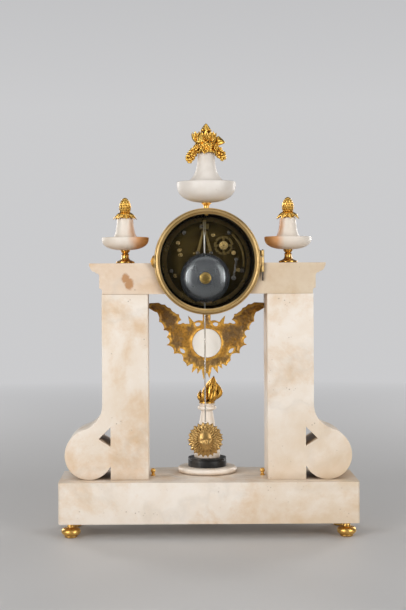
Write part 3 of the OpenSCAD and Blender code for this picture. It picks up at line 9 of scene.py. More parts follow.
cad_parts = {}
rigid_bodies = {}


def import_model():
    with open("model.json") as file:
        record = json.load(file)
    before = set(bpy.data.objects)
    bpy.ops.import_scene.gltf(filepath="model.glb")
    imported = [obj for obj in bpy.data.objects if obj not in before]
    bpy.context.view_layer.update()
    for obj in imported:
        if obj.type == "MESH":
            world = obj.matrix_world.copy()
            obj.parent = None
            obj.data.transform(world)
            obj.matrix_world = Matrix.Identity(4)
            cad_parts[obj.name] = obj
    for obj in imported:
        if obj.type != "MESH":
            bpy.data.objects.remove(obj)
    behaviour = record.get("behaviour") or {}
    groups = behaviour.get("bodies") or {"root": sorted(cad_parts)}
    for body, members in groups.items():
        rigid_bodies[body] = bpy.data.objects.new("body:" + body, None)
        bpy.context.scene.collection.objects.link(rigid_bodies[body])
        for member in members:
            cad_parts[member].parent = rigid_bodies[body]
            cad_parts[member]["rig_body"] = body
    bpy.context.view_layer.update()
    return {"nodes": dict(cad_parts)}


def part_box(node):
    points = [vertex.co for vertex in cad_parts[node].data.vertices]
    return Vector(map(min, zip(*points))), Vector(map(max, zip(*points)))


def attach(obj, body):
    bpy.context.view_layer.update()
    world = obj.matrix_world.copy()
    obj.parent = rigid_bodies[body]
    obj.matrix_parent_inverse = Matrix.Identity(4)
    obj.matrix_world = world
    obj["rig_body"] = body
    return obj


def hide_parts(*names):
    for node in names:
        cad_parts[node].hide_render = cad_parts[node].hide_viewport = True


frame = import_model()
nodes = frame["nodes"]
bpy.context.scene.view_settings.view_transform = "Standard"

# Camera: level with the drum and a little left of the clock's middle, with a long lens.
# Its shift puts the clock where the photograph has it, and the small roll follows the photograph's lean.
photo_long_side = 610
focal_px = 1308
sensor = 36
optical_axis_px = (177.0, 265)
frame_middle_px = (203, 305)
roll = math.radians(-0.3)
bpy.ops.object.camera_add()
camera = bpy.context.object
camera.matrix_world = (
    Matrix.Translation((-0.0387, -1.710, 0.345))
    @ Matrix.Rotation(math.pi / 2, 4, "X")
    @ Matrix.Rotation(roll, 4, "Z")
)
camera.data.sensor_width = sensor
camera.data.lens = sensor * focal_px / photo_long_side
camera.data.shift_x = (frame_middle_px[0] - optical_axis_px[0]) / photo_long_side
camera.data.shift_y = (optical_axis_px[1] - frame_middle_px[1]) / photo_long_side
camera.data.clip_start = 0.05
bpy.context.scene.camera = camera

# Studio: a pale floor that runs out into a pale surround, with a broad softbox and a narrow strip light
# on each side of the camera, one softbox above, and a pair behind the clock to light the dial side.


def shader_node(tree, kind, inputs=None, **settings):
    """One shader node; each input is given a value or the socket that feeds it."""
    made = tree.nodes.new("ShaderNode" + kind)
    for name, value in settings.items():
        setattr(made, name, value)
    for name, value in (inputs or {}).items():
        if isinstance(value, bpy.types.NodeSocket):
            tree.links.new(value, made.inputs[name])
        else:
            made.inputs[name].default_value = value
    return made


def sums(tree, operation, first, second):
    """Result of one sum on two values or sockets."""
    return shader_node(tree, "Math", {0: first, 1: second}, operation=operation).outputs[0]


def mixed(tree, factor, first, second):
    """Colour between first and second, by factor."""
    return shader_node(tree, "Mix", {0: factor, 6: first, 7: second}, data_type="RGBA").outputs[2]


def graded(tree, value, start, end):
    """Value that runs from 0 at start to 1 at end."""
    made = shader_node(tree, "MapRange", {"Value": value, "From Min": start, "From Max": end})
    return made.outputs["Result"]


def between(tree, value, low, high):
    """Value from 0 to 1 spread between low and high."""
    made = shader_node(tree, "MapRange", {"Value": value, "To Min": low, "To Max": high})
    return made.outputs["Result"]


def piece_place(tree):
    """Place of a point on a piece, in the clock's own frame."""
    return shader_node(tree, "TexCoord").outputs["Object"]


def along(tree, place, axis):
    """How far a place or direction runs along one axis."""
    return shader_node(tree, "SeparateXYZ", {0: place}).outputs[axis]


def far_from(tree, place, centre, stretch=(1, 1, 1)):
    """Distance of a place from a centre, with each axis stretched by its own factor."""
    off = shader_node(tree, "VectorMath", {0: place, 1: centre}, operation="SUBTRACT").outputs[0]
    off = shader_node(tree, "VectorMath", {0: off, 1: stretch}, operation="MULTIPLY").outputs[0]
    return shader_node(tree, "VectorMath", {0: off}, operation="LENGTH").outputs["Value"]


surround = (0.60, 0.60, 0.61, 1)
floor_grey = (0.62, 0.61, 0.60, 1)
bpy.ops.mesh.primitive_circle_add(vertices=64, radius=12, fill_type="NGON")
floor = bpy.context.object
floor.name = "studio_floor"
floor.data.materials.append(bpy.data.materials.new("studio_floor"))
floor.data.materials[0].use_nodes = True
tree = floor.data.materials[0].node_tree
tree.nodes.clear()
fade = graded(tree, far_from(tree, piece_place(tree), (0, 0, 0)), 0.5, 2.2)
near_floor = shader_node(tree, "BsdfPrincipled", {"Base Color": floor_grey, "Roughness": 0.55})
mirrored = shader_node(tree, "LightPath").outputs["Is Glossy Ray"]
dimmed = between(tree, mirrored, 1.0, 0.4)
far_floor = shader_node(tree, "Emission", {"Color": surround, "Strength": dimmed})
floor_mix = shader_node(tree, "MixShader", {0: fade, 1: near_floor.outputs[0], 2: far_floor.outputs[0]})
shader_node(tree, "OutputMaterial", {"Surface": floor_mix.outputs[0]})

world = bpy.data.worlds.new("studio")
bpy.context.scene.world = world
world.use_nodes = True
tree = world.node_tree
tree.nodes.clear()
upward = along(tree, shader_node(tree, "TexCoord").outputs["Generated"], "Z")
sky = mixed(tree, graded(tree, upward, 0.12, 0.6), surround, (0.28, 0.28, 0.29, 1))
path = shader_node(tree, "LightPath").outputs
seen = sums(tree, "MAXIMUM", path["Is Camera Ray"], path["Is Transmission Ray"])
strength = between(tree, seen, 0.35, 1.0)
glow = shader_node(tree, "Background", {"Color": sky, "Strength": strength})
shader_node(tree, "OutputWorld", {"Surface": glow.outputs[0]})

lit_point = Vector((0, 0, 0.28))
softboxes = (
    ("left_softbox", (-1.1, -1.4, 0.62), 0.9, 1.25, 12.6),
    ("right_softbox", (1.2, -1.3, 0.62), 0.9, 1.25, 9.8),
    ("left_strip", (-1.45, -1.2, 0.5), 0.1, 0.9, 5),
    ("right_strip", (1.5, -1.15, 0.5), 0.1, 0.9, 4),
    ("back_left_softbox", (-1.3, 1.5, 0.7), 0.5, 1.2, 13),
    ("back_right_softbox", (1.3, 1.5, 0.7), 0.5, 1.2, 13),
    ("top_softbox", (0, -0.5, 1.7), 1.8, 1.4, 7),
)
for name, place, width, tall, power in softboxes:
    bpy.ops.object.light_add(type="AREA", location=place)
    lamp = bpy.context.object
    lamp.name = name
    lamp.data.shape = "RECTANGLE"
    lamp.data.size = width
    lamp.data.size_y = tall
    lamp.data.energy = power
    lamp.rotation_euler = (lit_point - Vector(place)).to_track_quat("-Z", "Y").to_euler()

# Base: one block of white marble with a bowed front, sawn, polished and gone cream with age.
# Amber stains, faint grey veins and small open pits show on it, and its arrises are slightly worn.


def ramp(tree, value, *stops):
    """Value read through a ramp of (place, grey level) stops."""
    made = shader_node(tree, "ValToRGB", {"Fac": value})
    for element, (place, grey) in zip(made.color_ramp.elements, stops):
        element.position = place
        element.color = (grey, grey, grey, 1)
    return made.outputs["Color"]


def clouds(tree, place, scale, detail, roughness=0.5):
    """Cloudy pattern of values from 0 to 1."""
    made = shader_node(
        tree, "TexNoise", {"Vector": place, "Scale": scale, "Detail": detail, "Roughness": roughness})
    return made.outputs["Fac"]


def hollows(tree, reach, shut, clear):
    """Mask of the hollows, from 1 where the surface is shut in to 0 where it lies open."""
    air = shader_node(tree, "AmbientOcclusion", {"Distance": reach}, samples=8).outputs["AO"]
    return ramp(tree, air, (shut, 1), (clear, 0))


def put_out(group, **masks):
    """Puts masks out of a shader group, by their names."""
    for label in masks:
        group.interface.new_socket(label, in_out="OUTPUT", socket_type="NodeSocketFloat")
    out = group.nodes.new("NodeGroupOutput").inputs
    for label, mask in masks.items():
        group.links.new(mask, out[label])


def aged(tree, group):
    """Masks of one kind of ageing, by their names."""
    return shader_node(tree, "Group", node_tree=group).outputs


def tinted(tree, colour, mask, share, tint):
    """Colour with a tint laid over it by a share of a mask."""
    return mixed(tree, sums(tree, "MULTIPLY", mask, share), colour, tint)


def new_finish(name, **constants):
    """Material with its shader's fixed values set; returns material, node tree and shader."""
    material = bpy.data.materials.new(name)
    material.use_nodes = True
    shader = material.node_tree.nodes["Principled BSDF"]
    for label, value in constants.items():
        shader.inputs[label.replace("_", " ")].default_value = value
    return material, material.node_tree, shader


def feed(tree, shader, colour, roughness, height=None, depth=0.0, strength=0.5):
    """Joins a colour, a roughness and, where there is one, a height to the shader."""
    tree.links.new(colour, shader.inputs["Base Color"])
    tree.links.new(roughness, shader.inputs["Roughness"])
    if height:
        bump = shader_node(tree, "Bump", {"Height": height, "Strength": strength, "Distance": depth})
        tree.links.new(bump.outputs[0], shader.inputs["Normal"])


def only(piece):
    """Makes a piece the only selected one."""
    bpy.ops.object.select_all(action="DESELECT")
    piece.select_set(True)
    bpy.context.view_layer.objects.active = piece


def soften(piece, width, steps, crease):
    """Rounds the edges of a piece that are sharper than crease, in degrees, and smooths the rest."""
    only(piece)
    if width:
        edge = piece.modifiers.new("softened", "BEVEL")
        edge.width = width
        edge.segments = steps
        edge.angle_limit = math.radians(crease)
        edge.use_clamp_overlap = True
        bpy.ops.object.modifier_apply(modifier=edge.name)
    bpy.ops.object.shade_smooth_by_angle(angle=math.radians(crease))
    return piece


def fasten(piece, material, body):
    """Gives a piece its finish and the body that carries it."""
    piece.data.materials.clear()
    piece.data.materials.append(material)
    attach(piece, body)
    return piece


def stands_for(piece, node, material):
    """Puts a piece in a node's place, on the node's body, with its finish."""
    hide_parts(node)
    return fasten(piece, material, nodes[node]["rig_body"])


def dressed(node, material, edge=0.0, steps=2, crease=35):
    """Worked copy of a node: triangles merged into faces, sharp edges softened, and its finish put on."""
    piece = bpy.data.objects.new(node + "_dressed", nodes[node].data.copy())
    bpy.context.collection.objects.link(piece)
    only(piece)
    bpy.ops.mesh.customdata_custom_splitnormals_clear()
    bpy.ops.object.mode_set(mode="EDIT")
    bpy.ops.mesh.select_all(action="SELECT")
    bpy.ops.mesh.remove_doubles(threshold=2e-6)
    bpy.ops.mesh.dissolve_limited(angle_limit=math.radians(0.4))
    bpy.ops.object.mode_set(mode="OBJECT")
    soften(piece, edge, steps, crease)
    low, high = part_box(node)
    for point in piece.data.vertices:
        point.co = [min(max(value, least), most) for value, least, most in zip(point.co, low, high)]
    return stands_for(piece, node, material)


stone_age = bpy.data.node_groups.new("stone_age", "ShaderNodeTree")
place = piece_place(stone_age)
drift = shader_node(stone_age, "TexNoise", {"Vector": place, "Scale": 9, "Detail": 3}).outputs["Color"]
drift = shader_node(stone_age, "VectorMath", {0: drift, "Scale": 0.045}, operation="SCALE").outputs[0]
drifted = shader_node(stone_age, "VectorMath", {0: place, 1: drift}, operation="ADD").outputs[0]
vein = sums(stone_age, "SUBTRACT", clouds(stone_age, drifted, 8, 5, 0.55), 0.47)
pit = shader_node(stone_age, "TexVoronoi", {"Vector": place, "Scale": 210}).outputs["Distance"]
pit = ramp(stone_age, pit, (0.1, 1), (0.24, 0))
sparse = ramp(stone_age, clouds(stone_age, place, 46, 2), (0.6, 0), (0.67, 1))
put_out(
    stone_age,
    Cloud=ramp(stone_age, clouds(stone_age, drifted, 17, 8, 0.62), (0.38, 0), (0.70, 1)),
    Stain=ramp(stone_age, clouds(stone_age, drifted, 11, 6, 0.66), (0.50, 0), (0.68, 1)),
    Vein=ramp(stone_age, sums(stone_age, "ABSOLUTE", vein, 0), (0.0, 1), (0.035, 0)),
    Pit=sums(stone_age, "MULTIPLY", pit, sparse),
    # Grime comes from the ambient occlusion: dirt in the joints together with painted shade in the
    # hollows.
    Grime=hollows(stone_age, 0.014, 0.25, 0.9),
    Grain=clouds(stone_age, place, 620, 4),
)


def marble(name, pale, cream, amber, stained, extra=None):
    """Aged marble; extra is a (mask maker, colour) that adds one colour of its own."""
    material, tree, shader = new_finish(name, Specular_IOR_Level=0.42)
    age = aged(tree, stone_age)
    colour = mixed(tree, age["Cloud"], pale, cream)
    colour = tinted(tree, colour, age["Stain"], stained, amber)
    colour = tinted(tree, colour, age["Vein"], 0.16, (0.50, 0.44, 0.37, 1))
    if extra:
        colour = mixed(tree, extra[0](tree, age), colour, extra[1])
    # Brown in the hollows: dirt in the joints and painted shade, from one mask.
    colour = tinted(tree, colour, age["Grime"], 0.55, (0.42, 0.29, 0.17, 1))
    colour = tinted(tree, colour, age["Pit"], 0.6, (0.30, 0.20, 0.12, 1))
    rough = between(tree, age["Cloud"], 0.34, 0.5)
    height = sums(tree, "SUBTRACT", sums(tree, "MULTIPLY", age["Grain"], 0.25), age["Pit"])
    feed(tree, shader, colour, rough, height, 0.0003, 0.35)
    return material


def yellowed_end(tree, age):
    """Mask that grows towards the low right end of the clock, broken up by the stone's clouds."""
    place = piece_place(tree)
    right = graded(tree, along(tree, place, "X"), 0.02, 0.17)
    low = graded(tree, along(tree, place, "Z"), 0.16, 0.10)
    corner = sums(tree, "MULTIPLY", right, low)
    return sums(tree, "MULTIPLY", corner, between(tree, age["Cloud"], 0.35, 1.0))


case_marble = marble(
    "case_marble", (0.88, 0.80, 0.71, 1), (0.79, 0.66, 0.52, 1), (0.69, 0.46, 0.25, 1), 0.85,
    (yellowed_end, (0.69, 0.52, 0.34, 1)))
dressed("base_plinth", case_marble, 0.0011, 3)

# Feet: four turned bun feet in gilt bronze, each screwed to the marble by a stud.
# The gilding is rubbed bright on the swell and dull brown in the hollows.
gilt_age = bpy.data.node_groups.new("gilt_age", "ShaderNodeTree")
place = piece_place(gilt_age)
ridge = shader_node(gilt_age, "NewGeometry").outputs["Pointiness"]
put_out(
    gilt_age,
    Recess=hollows(gilt_age, 0.005, 0.15, 0.8),
    Rubbed=ramp(gilt_age, ridge, (0.5, 0), (0.6, 1)),
    Blotch=ramp(gilt_age, clouds(gilt_age, place, 95, 6, 0.65), (0.36, 0), (0.66, 1)),
    Grain=clouds(gilt_age, place, 1500, 3),
)


def gilding(name, bright, body, dull, rough=(0.2, 0.4), extra=None):
    """Mercury gilding: bright where rubbed, brown in the hollows; extra is a (mask maker, colour)."""
    material, tree, shader = new_finish(name, Metallic=1.0)
    age = aged(tree, gilt_age)
    colour = mixed(tree, age["Blotch"], bright, body)
    colour = mixed(tree, age["Recess"], colour, dull)
    colour = tinted(tree, colour, age["Rubbed"], 0.6, bright)
    if extra:
        colour = mixed(tree, extra[0](tree), colour, extra[1])
    roughness = between(tree, age["Blotch"], *rough)
    feed(tree, shader, colour, roughness, sums(tree, "ADD", age["Blotch"], age["Grain"]), 0.00012, 0.3)
    return material


gilt = gilding("gilt", (0.90, 0.57, 0.17, 1), (0.70, 0.39, 0.09, 1), (0.26, 0.11, 0.018, 1), (0.28, 0.4))
dressed("bun_feet", gilt, crease=30)

# Ties: three wrought-iron rods through the marble, drawn up by square nuts in the base.
# They hold the uprights, the lintel and the torch, and hardly show.
iron, tree, shader = new_finish("wrought_iron", Metallic=0.7)
age = aged(tree, gilt_age)
colour = mixed(tree, age["Blotch"], (0.09, 0.08, 0.075, 1), (0.16, 0.085, 0.045, 1))
feed(tree, shader, colour, between(tree, age["Blotch"], 0.5, 0.8), age["Blotch"], 0.0003)
for node in ("tie_rods", "tie_nuts"):
    dressed(node, iron, 0.0003)

# Uprights: two marble slabs, each a straight pilaster with a strip that runs down into a scroll.
# A three-sided opening is pierced between pilaster and scroll.
for node in ("upright_left", "upright_right"):
    dressed(node, case_marble, 0.0009, 3)

# Lintel: two marble blocks with a moulded cornice, cut out to take the drum between them.
# An old rust spot shows on the back of the left block.


def rust_spot(tree, age):
    """Mask of the rust spots: long ones on the back face, ragged by a noise of their own."""
    place = piece_place(tree)
    rough = clouds(tree, place, 180, 5, 0.7)
    lintel_back = -0.0425
    spots = 0.0
    for spot_x, spot_z, wide, tall in (
            (-0.1045, 0.3285, 0.0055, 0.007), (-0.1000, 0.3210, 0.006, 0.0085)):
        off = far_from(tree, place, (spot_x, lintel_back, spot_z), (1 / wide, 120, 1 / tall))
        spread = graded(tree, sums(tree, "ADD", off, rough), 1.6, 1.2)
        spots = sums(tree, "MAXIMUM", spots, spread)
    return sums(tree, "MULTIPLY", spots, 0.85)


lintel_marble = marble(
    "lintel_marble", (0.81, 0.68, 0.55, 1), (0.74, 0.57, 0.42, 1), (0.62, 0.41, 0.22, 1), 0.85,
    (rust_spot, (0.46, 0.21, 0.065, 1)))
dressed("lintel_left", lintel_marble, 0.0007, 3)
# The right block takes a darker copy of the lintel's marble: painted shade.
right_marble_painted_shade = marble(
    "right_marble_painted_shade", (0.71, 0.59, 0.44, 1), (0.63, 0.48, 0.33, 1), (0.55, 0.36, 0.18, 1), 0.85)
dressed("lintel_right", right_marble_painted_shade, 0.0007, 3)

# Base knobs: two small turned buttons of gilt bronze on the base, beside the uprights.
# Each is set in the marble by a stud.
dressed("base_knobs", gilt, crease=30)

# Torch: a marble disc, a black marble plinth and a turned marble shaft on one iron rod.
# It stands at the front of the base, behind the pendulum as the photograph sees it.
# The torch's marble is painted lighter than the case's: painted light, standing in for the light the
# uprights keep off it.
torch_marble_painted_light = marble(
    "torch_marble_painted_light", (0.90, 0.83, 0.74, 1), (0.84, 0.73, 0.61, 1), (0.66, 0.48, 0.30, 1), 0.5)
dressed("torch_disc", torch_marble_painted_light, crease=30)
dressed("torch_shaft", torch_marble_painted_light, 0.0003, 2, 30)
black_marble, tree, shader = new_finish("black_marble", Specular_IOR_Level=0.22)
age = aged(tree, stone_age)
colour = mixed(tree, age["Cloud"], (0.014, 0.014, 0.0145, 1), (0.028, 0.027, 0.026, 1))
colour = tinted(tree, colour, age["Vein"], 0.35, (0.16, 0.15, 0.14, 1))
feed(tree, shader, colour, between(tree, age["Cloud"], 0.34, 0.46), age["Grain"], 0.0001, 0.1)
dressed("torch_plinth", black_marble, 0.0003, 2, 30)

# Flame: cast and gilt bronze, a sheaf of pointed tongues that curl to one side.
# Each tongue swells above its root and runs out to a thin tip.


def at_mm(x, y, z):
    """Point in metres from a point in millimetres."""
    return Vector((x, y, z)) / 1000


def smooth(piece):
    """Shades a piece smooth all over."""
    only(piece)
    bpy.ops.object.shade_smooth()


def joined(pieces, name):
    """One object from several, at the origin."""
    bpy.ops.object.select_all(action="DESELECT")
    for piece in pieces:
        piece.select_set(True)
    bpy.context.view_layer.objects.active = pieces[0]
    bpy.ops.object.join()
    pieces[0].name = name
    return pieces[0]


def top_of(node):
    """Middle of a node's top."""
    low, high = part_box(node)
    return Vector(((low.x + high.x) / 2, (low.y + high.y) / 2, high.z))


flame_foot = top_of("torch_shaft")
tongues = (
    ((1, 0, 1), (1, -1, 19), (10.2, 0, 35), 7.4),
    ((6, -2, 3), (23, -2, 12), (13, 0, 27), 5.0),
    ((-4, -2, 1), (-13, -3, 8), (-8, -2, 18), 4.2),
    ((-2, -5, 1), (-6, -11, 11), (-1, -6, 24), 4.8),
    ((5, -5, 1), (10, -12, 10), (9, -6, 26), 5.2),
    ((-2, 5, 1), (-6, 10, 10), (-3, 6, 21), 4.0),
    ((4, 5, 1), (10, 11, 11), (10, 5, 25), 4.2),
)
flame_gilt = gilding(
    "flame_gilt", (0.64, 0.37, 0.075, 1), (0.42, 0.21, 0.034, 1), (0.12, 0.045, 0.006, 1), (0.22, 0.36))
flame = [dressed("torch_flame", flame_gilt, crease=50)]
flame_h, flame_lean = 0.036, 0.0095
bare_h, core_share = 0.006, 0.7
for point in flame[0].data.vertices:
    middle = flame_foot.x + flame_lean * max(0.0, point.co.z - flame_foot.z) / flame_h
    if point.co.z > flame_foot.z + bare_h:
        point.co.x = middle + (point.co.x - middle) * core_share
        point.co.y = flame_foot.y + (point.co.y - flame_foot.y) * core_share
for root, belly, tip, thick in tongues:
    bpy.ops.mesh.primitive_uv_sphere_add(segments=20, ring_count=18, radius=1)
    tongue = bpy.context.object
    for point in tongue.data.vertices:
        t = (point.co.z + 1) / 2
        turn = math.atan2(point.co.y, point.co.x)
        spine = (1 - t) ** 2 * at_mm(*root) + 2 * t * (1 - t) * at_mm(*belly) + t * t * at_mm(*tip)
        swell = math.sin(math.pi * (0.06 + 0.94 * t) ** 0.62) ** 0.9
        swell *= thick / 1000 * (1 + 0.07 * math.cos(3 * turn + 3 * t + thick))
        point.co = flame_foot + spine + swell * Vector((math.cos(turn), math.sin(turn), 0))
    smooth(tongue)
    tongue.data.materials.append(flame_gilt)
    flame.append(tongue)
joined(flame, "torch_flame_dressed")

# Side urns: a turned gilt stem, a marble bowl and a marble neck above each end of the lintel.
# The marble is less yellow than the case's, and the bowls are orange on the side of the drum.


def orange_toward_drum(tree, age):
    """Mask that grows towards the middle of the clock, broken up by the stone's clouds."""
    place = piece_place(tree)
    across = sums(tree, "ABSOLUTE", along(tree, place, "X"), 0)
    ragged = sums(tree, "ADD", across, sums(tree, "MULTIPLY", age["Cloud"], 0.009))
    near = graded(tree, ragged, 0.106, 0.094)
    return sums(tree, "MULTIPLY", near, between(tree, age["Cloud"], 1.0, 0.7))


urn_marble = marble(
    "urn_marble", (0.83, 0.77, 0.69, 1), (0.77, 0.68, 0.58, 1), (0.66, 0.50, 0.34, 1), 0.4,
    (orange_toward_drum, (0.66, 0.28, 0.07, 1)))
stem_gilt = gilding(
    "stem_gilt", (0.74, 0.45, 0.13, 1), (0.54, 0.30, 0.07, 1), (0.16, 0.07, 0.012, 1), (0.2, 0.32))
for side in ("left", "right"):
    dressed("side_stem_" + side, stem_gilt, 0.0002, 2, 30)
    dressed("side_bowl_" + side, urn_marble, crease=30)
    dressed("side_neck_" + side, urn_marble, crease=30)

# Pine cones: gilt bronze, cast with rows of lapping scales above a collar of drooping leaves.
# Each stands on the neck of a side urn.


def blade(length, width, droop, cup, thick, teeth=0, steps=10, bend=2):
    """Leaf or petal along +X from the origin: cupped across, drooping along, thin at its tip."""
    bpy.ops.mesh.primitive_grid_add(x_subdivisions=steps, y_subdivisions=4, size=2)
    leaf = bpy.context.object
    body = leaf.vertex_groups.new(name="body")
    for point in leaf.data.vertices:
        u = (point.co.x + 1) / 2
        v = point.co.y
        half = width / 2 * max(math.sin(math.pi * u ** 0.75), 0.16 * (1 - u) + 0.03)
        if teeth:
            half *= 1 + 0.22 * abs(v) * math.sin(2 * math.pi * teeth * u)
        rise = cup * width * (v * v - 0.35 * math.exp(-(v / 0.18) ** 2))
        rise *= math.sin(math.pi * (0.15 + 0.85 * u))
        point.co = (u * length, v * half, rise - droop * u ** bend)
        body.add([point.index], 1 - 0.75 * u * u, "REPLACE")
    only(leaf)
    skin = leaf.modifiers.new("thickness", "SOLIDIFY")
    skin.thickness = thick
    skin.offset = 0
    skin.vertex_group = body.name
    bpy.ops.object.modifier_apply(modifier=skin.name)
    leaf.vertex_groups.clear()
    bpy.ops.object.shade_smooth()
    return leaf


def set_out(pattern, places):
    """Copies of a pattern, each with its own mesh, at the given places; the pattern is used up."""
    copies = []
    for place in places:
        copy = pattern.copy()
        copy.data = pattern.data.copy()
        copy.data.transform(place)
        bpy.context.collection.objects.link(copy)
        copies.append(copy)
    bpy.data.objects.remove(pattern)
    return copies


def around(angle, radius, height, tilt=0.0, spin=0.0):
    """Place at an angle about the Z axis, leaning outwards by tilt, with lengths in millimetres."""
    return (
        Matrix.Rotation(math.radians(angle), 4, "Z")
        @ Matrix.Translation((radius / 1000, 0, height / 1000))
        @ Matrix.Rotation(math.radians(tilt), 4, "Y")
        @ Matrix.Rotation(math.radians(spin), 4, "Z")
    )


cone_r, cone_h, cone_foot = 7.7, 21, 7
cone_rows, cone_columns, cone_leaves = 6, 10, 8
sunk_share = 0.06


def turned(rings, segments, profile):
    """Closed shape about the Z axis; profile gives its radius and height, in millimetres."""
    bpy.ops.object.select_all(action="DESELECT")
    bpy.ops.mesh.primitive_uv_sphere_add(segments=segments, ring_count=rings, radius=1)
    shape = bpy.context.object
    for point in shape.data.vertices:
        share = math.acos(max(-1.0, min(1.0, -point.co.z))) / math.pi
        turn = math.atan2(point.co.y, point.co.x)
        radius, height = profile(share, turn)
        flat = 0.0 if abs(point.co.z) > 0.9999 else max(0.0, radius)
        point.co = at_mm(flat * math.cos(turn), flat * math.sin(turn), height)
    smooth(shape)
    return shape


def cone_scale(share, turn):
    """Rise of the scales: each lifts towards its upper edge, and each row is set on by half a scale."""
    row = math.floor(share * cone_rows)
    up = share * cone_rows - row
    across = turn / (2 * math.pi) * cone_columns + row / 2
    across = abs(2 * (across - round(across)))
    return (0.3 + 0.7 * up) * (1 - across ** 4) * min(1.0, 5 * (1 - up))


def cone_skin(share, turn):
    """Outline of the cone, egg-shaped, with its scales."""
    girth = math.sin(math.pi * (0.12 + 0.88 * share) ** 0.86) ** 0.52
    radius = girth * (cone_r - 0.8 + 1.5 * cone_scale(share, turn))
    return radius, cone_foot + cone_h * (share - sunk_share)


def painted_shade_between_scales(tree):
    """Mask of the gaps between the scales, where painted shade darkens the gilt."""
    gap = shader_node(tree, "Attribute", attribute_name="gap").outputs["Fac"]
    return graded(tree, gap, 0.55, 0.95)


# The gaps between the scales are darkened: painted shade.
cone_gilt = gilding(
    "cone_gilt", (0.94, 0.59, 0.15, 1), (0.78, 0.44, 0.09, 1), (0.26, 0.11, 0.018, 1), (0.26, 0.38),
    (painted_shade_between_scales, (0.20, 0.085, 0.014, 1)))
for side in ("left", "right"):
    stand = Matrix.Translation(top_of("side_neck_" + side))
    core = turned(96, 140, cone_skin)
    gaps = core.data.attributes.new("gap", "FLOAT", "POINT")
    for point, gap in zip(core.data.vertices, gaps.data):
        share = (1000 * point.co.z - cone_foot) / cone_h + sunk_share
        gap.value = 1 - cone_scale(share, math.atan2(point.co.y, point.co.x))
    core.data.transform(stand)
    bpy.ops.mesh.primitive_cylinder_add(vertices=32, radius=0.006, depth=0.0075, location=(0, 0, 0.0037))
    foot = bpy.context.object
    bpy.ops.object.transform_apply(location=True)
    foot.data.transform(stand)
    drooping = set_out(
        blade(0.0107, 0.0092, 0.0104, -0.32, 0.0014, 0, 14, 3),
        [stand @ around(360 * k / cone_leaves + 10, 2.8, cone_foot - 1.6, -14)
         for k in range(cone_leaves)])
    upright = set_out(
        blade(0.0092, 0.0070, 0.0046, -0.24, 0.001, 0, 10, 3),
        [stand @ around(360 * (k + 0.5) / cone_leaves + 10, 3.0, cone_foot - 1.4, -10)
         for k in range(cone_leaves)])
    cone = joined([core] + drooping + upright + [foot], "pinecone_" + side + "_dressed")
    stands_for(cone, "pinecone_" + side, cone_gilt)

# Top urn: a gilt stem screwed through the drum, a wide marble bowl and a slender marble neck.
# Its marble is the least yellow on the clock.
top_marble = marble(
    "top_marble", (0.80, 0.75, 0.69, 1), (0.74, 0.68, 0.61, 1), (0.66, 0.54, 0.40, 1), 0.35)
dressed("top_stem", gilt, 0.0002, 2, 30)
dressed("top_bowl", top_marble, crease=30)
dressed("top_neck", top_marble, crease=30)

# Bouquet: cast and gilt bronze, open flowers below and closed buds above, with broad leaves between them.
# Clusters of berries droop over the rim of the neck, and a large bud stands at the top.
bouquet_gilt = gilding(
    "bouquet_gilt", (0.98, 0.63, 0.145, 1), (0.74, 0.41, 0.07, 1), (0.36, 0.16, 0.028, 1), (0.26, 0.38))
stand = Matrix.Translation(top_of("top_neck"))
bouquet_h = 38


def bud(length, girth, petals):
    """Closed bud that stands on the origin, with a groove between its petals."""

    def skin(share, turn):
        ridge = abs(math.cos(petals * (turn + 0.9 * share) / 2)) ** 0.6
        swell = min(share / 0.42, (1 - share) / 0.58) ** 0.72
        return girth * swell * (0.76 + 0.24 * ridge), length * share

    return turned(28, 60, skin)


buds = set_out(bud(15.4, 6.9, 5), [stand @ around(0, 0, bouquet_h - 15.2)])
buds += set_out(bud(16, 6.6, 6), [stand @ around(0, 0, bouquet_h - 24)])
bud_places = ((0, 16, 100), (118, 16, 84), (236, 8, 18))
buds += set_out(
    bud(17, 7.2, 5), [stand @ around(angle, 8, height, tilt) for angle, height, tilt in bud_places])
cups = set_out(
    blade(0.0146, 0.0066, 0.0016, -0.3, 0.0011, 0, 12),
    [around(45 * k + 20, 2.4, 1.2 * (k % 2), -72 - 8 * (k % 2)) for k in range(8)])
cups += set_out(bud(13, 4.4, 5), [Matrix.Identity(4)])
cup_places = ((180, 13, 9), (62, 13, 14), (300, 11, 16))
cups = set_out(
    joined(cups, "cup"), [stand @ around(angle, 9.5, height, tilt) for angle, height, tilt in cup_places])
petals = set_out(
    blade(0.0086, 0.0078, 0.0006, 0.12, 0.0011, 0, 8), [around(72 * k, 0.6, 0.4, -12) for k in range(5)])
petals += set_out(
    blade(0.0056, 0.0058, -0.001, 0.2, 0.001, 0, 6),
    [around(72 * k + 36, 0.4, 1.0, -34) for k in range(5)])
bpy.ops.mesh.primitive_ico_sphere_add(subdivisions=2, radius=0.0019, location=(0, 0, 0.0018))
eye = bpy.context.object
bpy.ops.object.transform_apply(location=True)
flower_tiers = ((5.5, 12, 7, 12, 84), (15.5, 9, 5, 30, 62))
flowers = set_out(joined(petals + [eye], "flower"), [
    stand @ around(start + 360 * k / count, radius, height, tilt, 25 * k)
    for height, radius, count, start, tilt in flower_tiers for k in range(count)])
calyx = set_out(
    blade(0.0138, 0.0080, -0.0006, 0.2, 0.0013, 0, 12),
    [stand @ around(45 * k, 4.4 + 0.9 * (k % 2), bouquet_h - 22 - 3 * (k % 2), -77) for k in range(8)])
low_leaves = set_out(
    blade(0.0120, 0.0092, 0.004, -0.16, 0.0012, 3, 12),
    [stand @ around(38 + 45 * k, 6, 4.2 + 1.6 * (k % 2), 4) for k in range(8)])
bpy.ops.mesh.primitive_ico_sphere_add(subdivisions=2, radius=0.0019)
berry = bpy.context.object
smooth(berry)
cluster_berries = 38
noise.seed_set(7)
berry_places = []
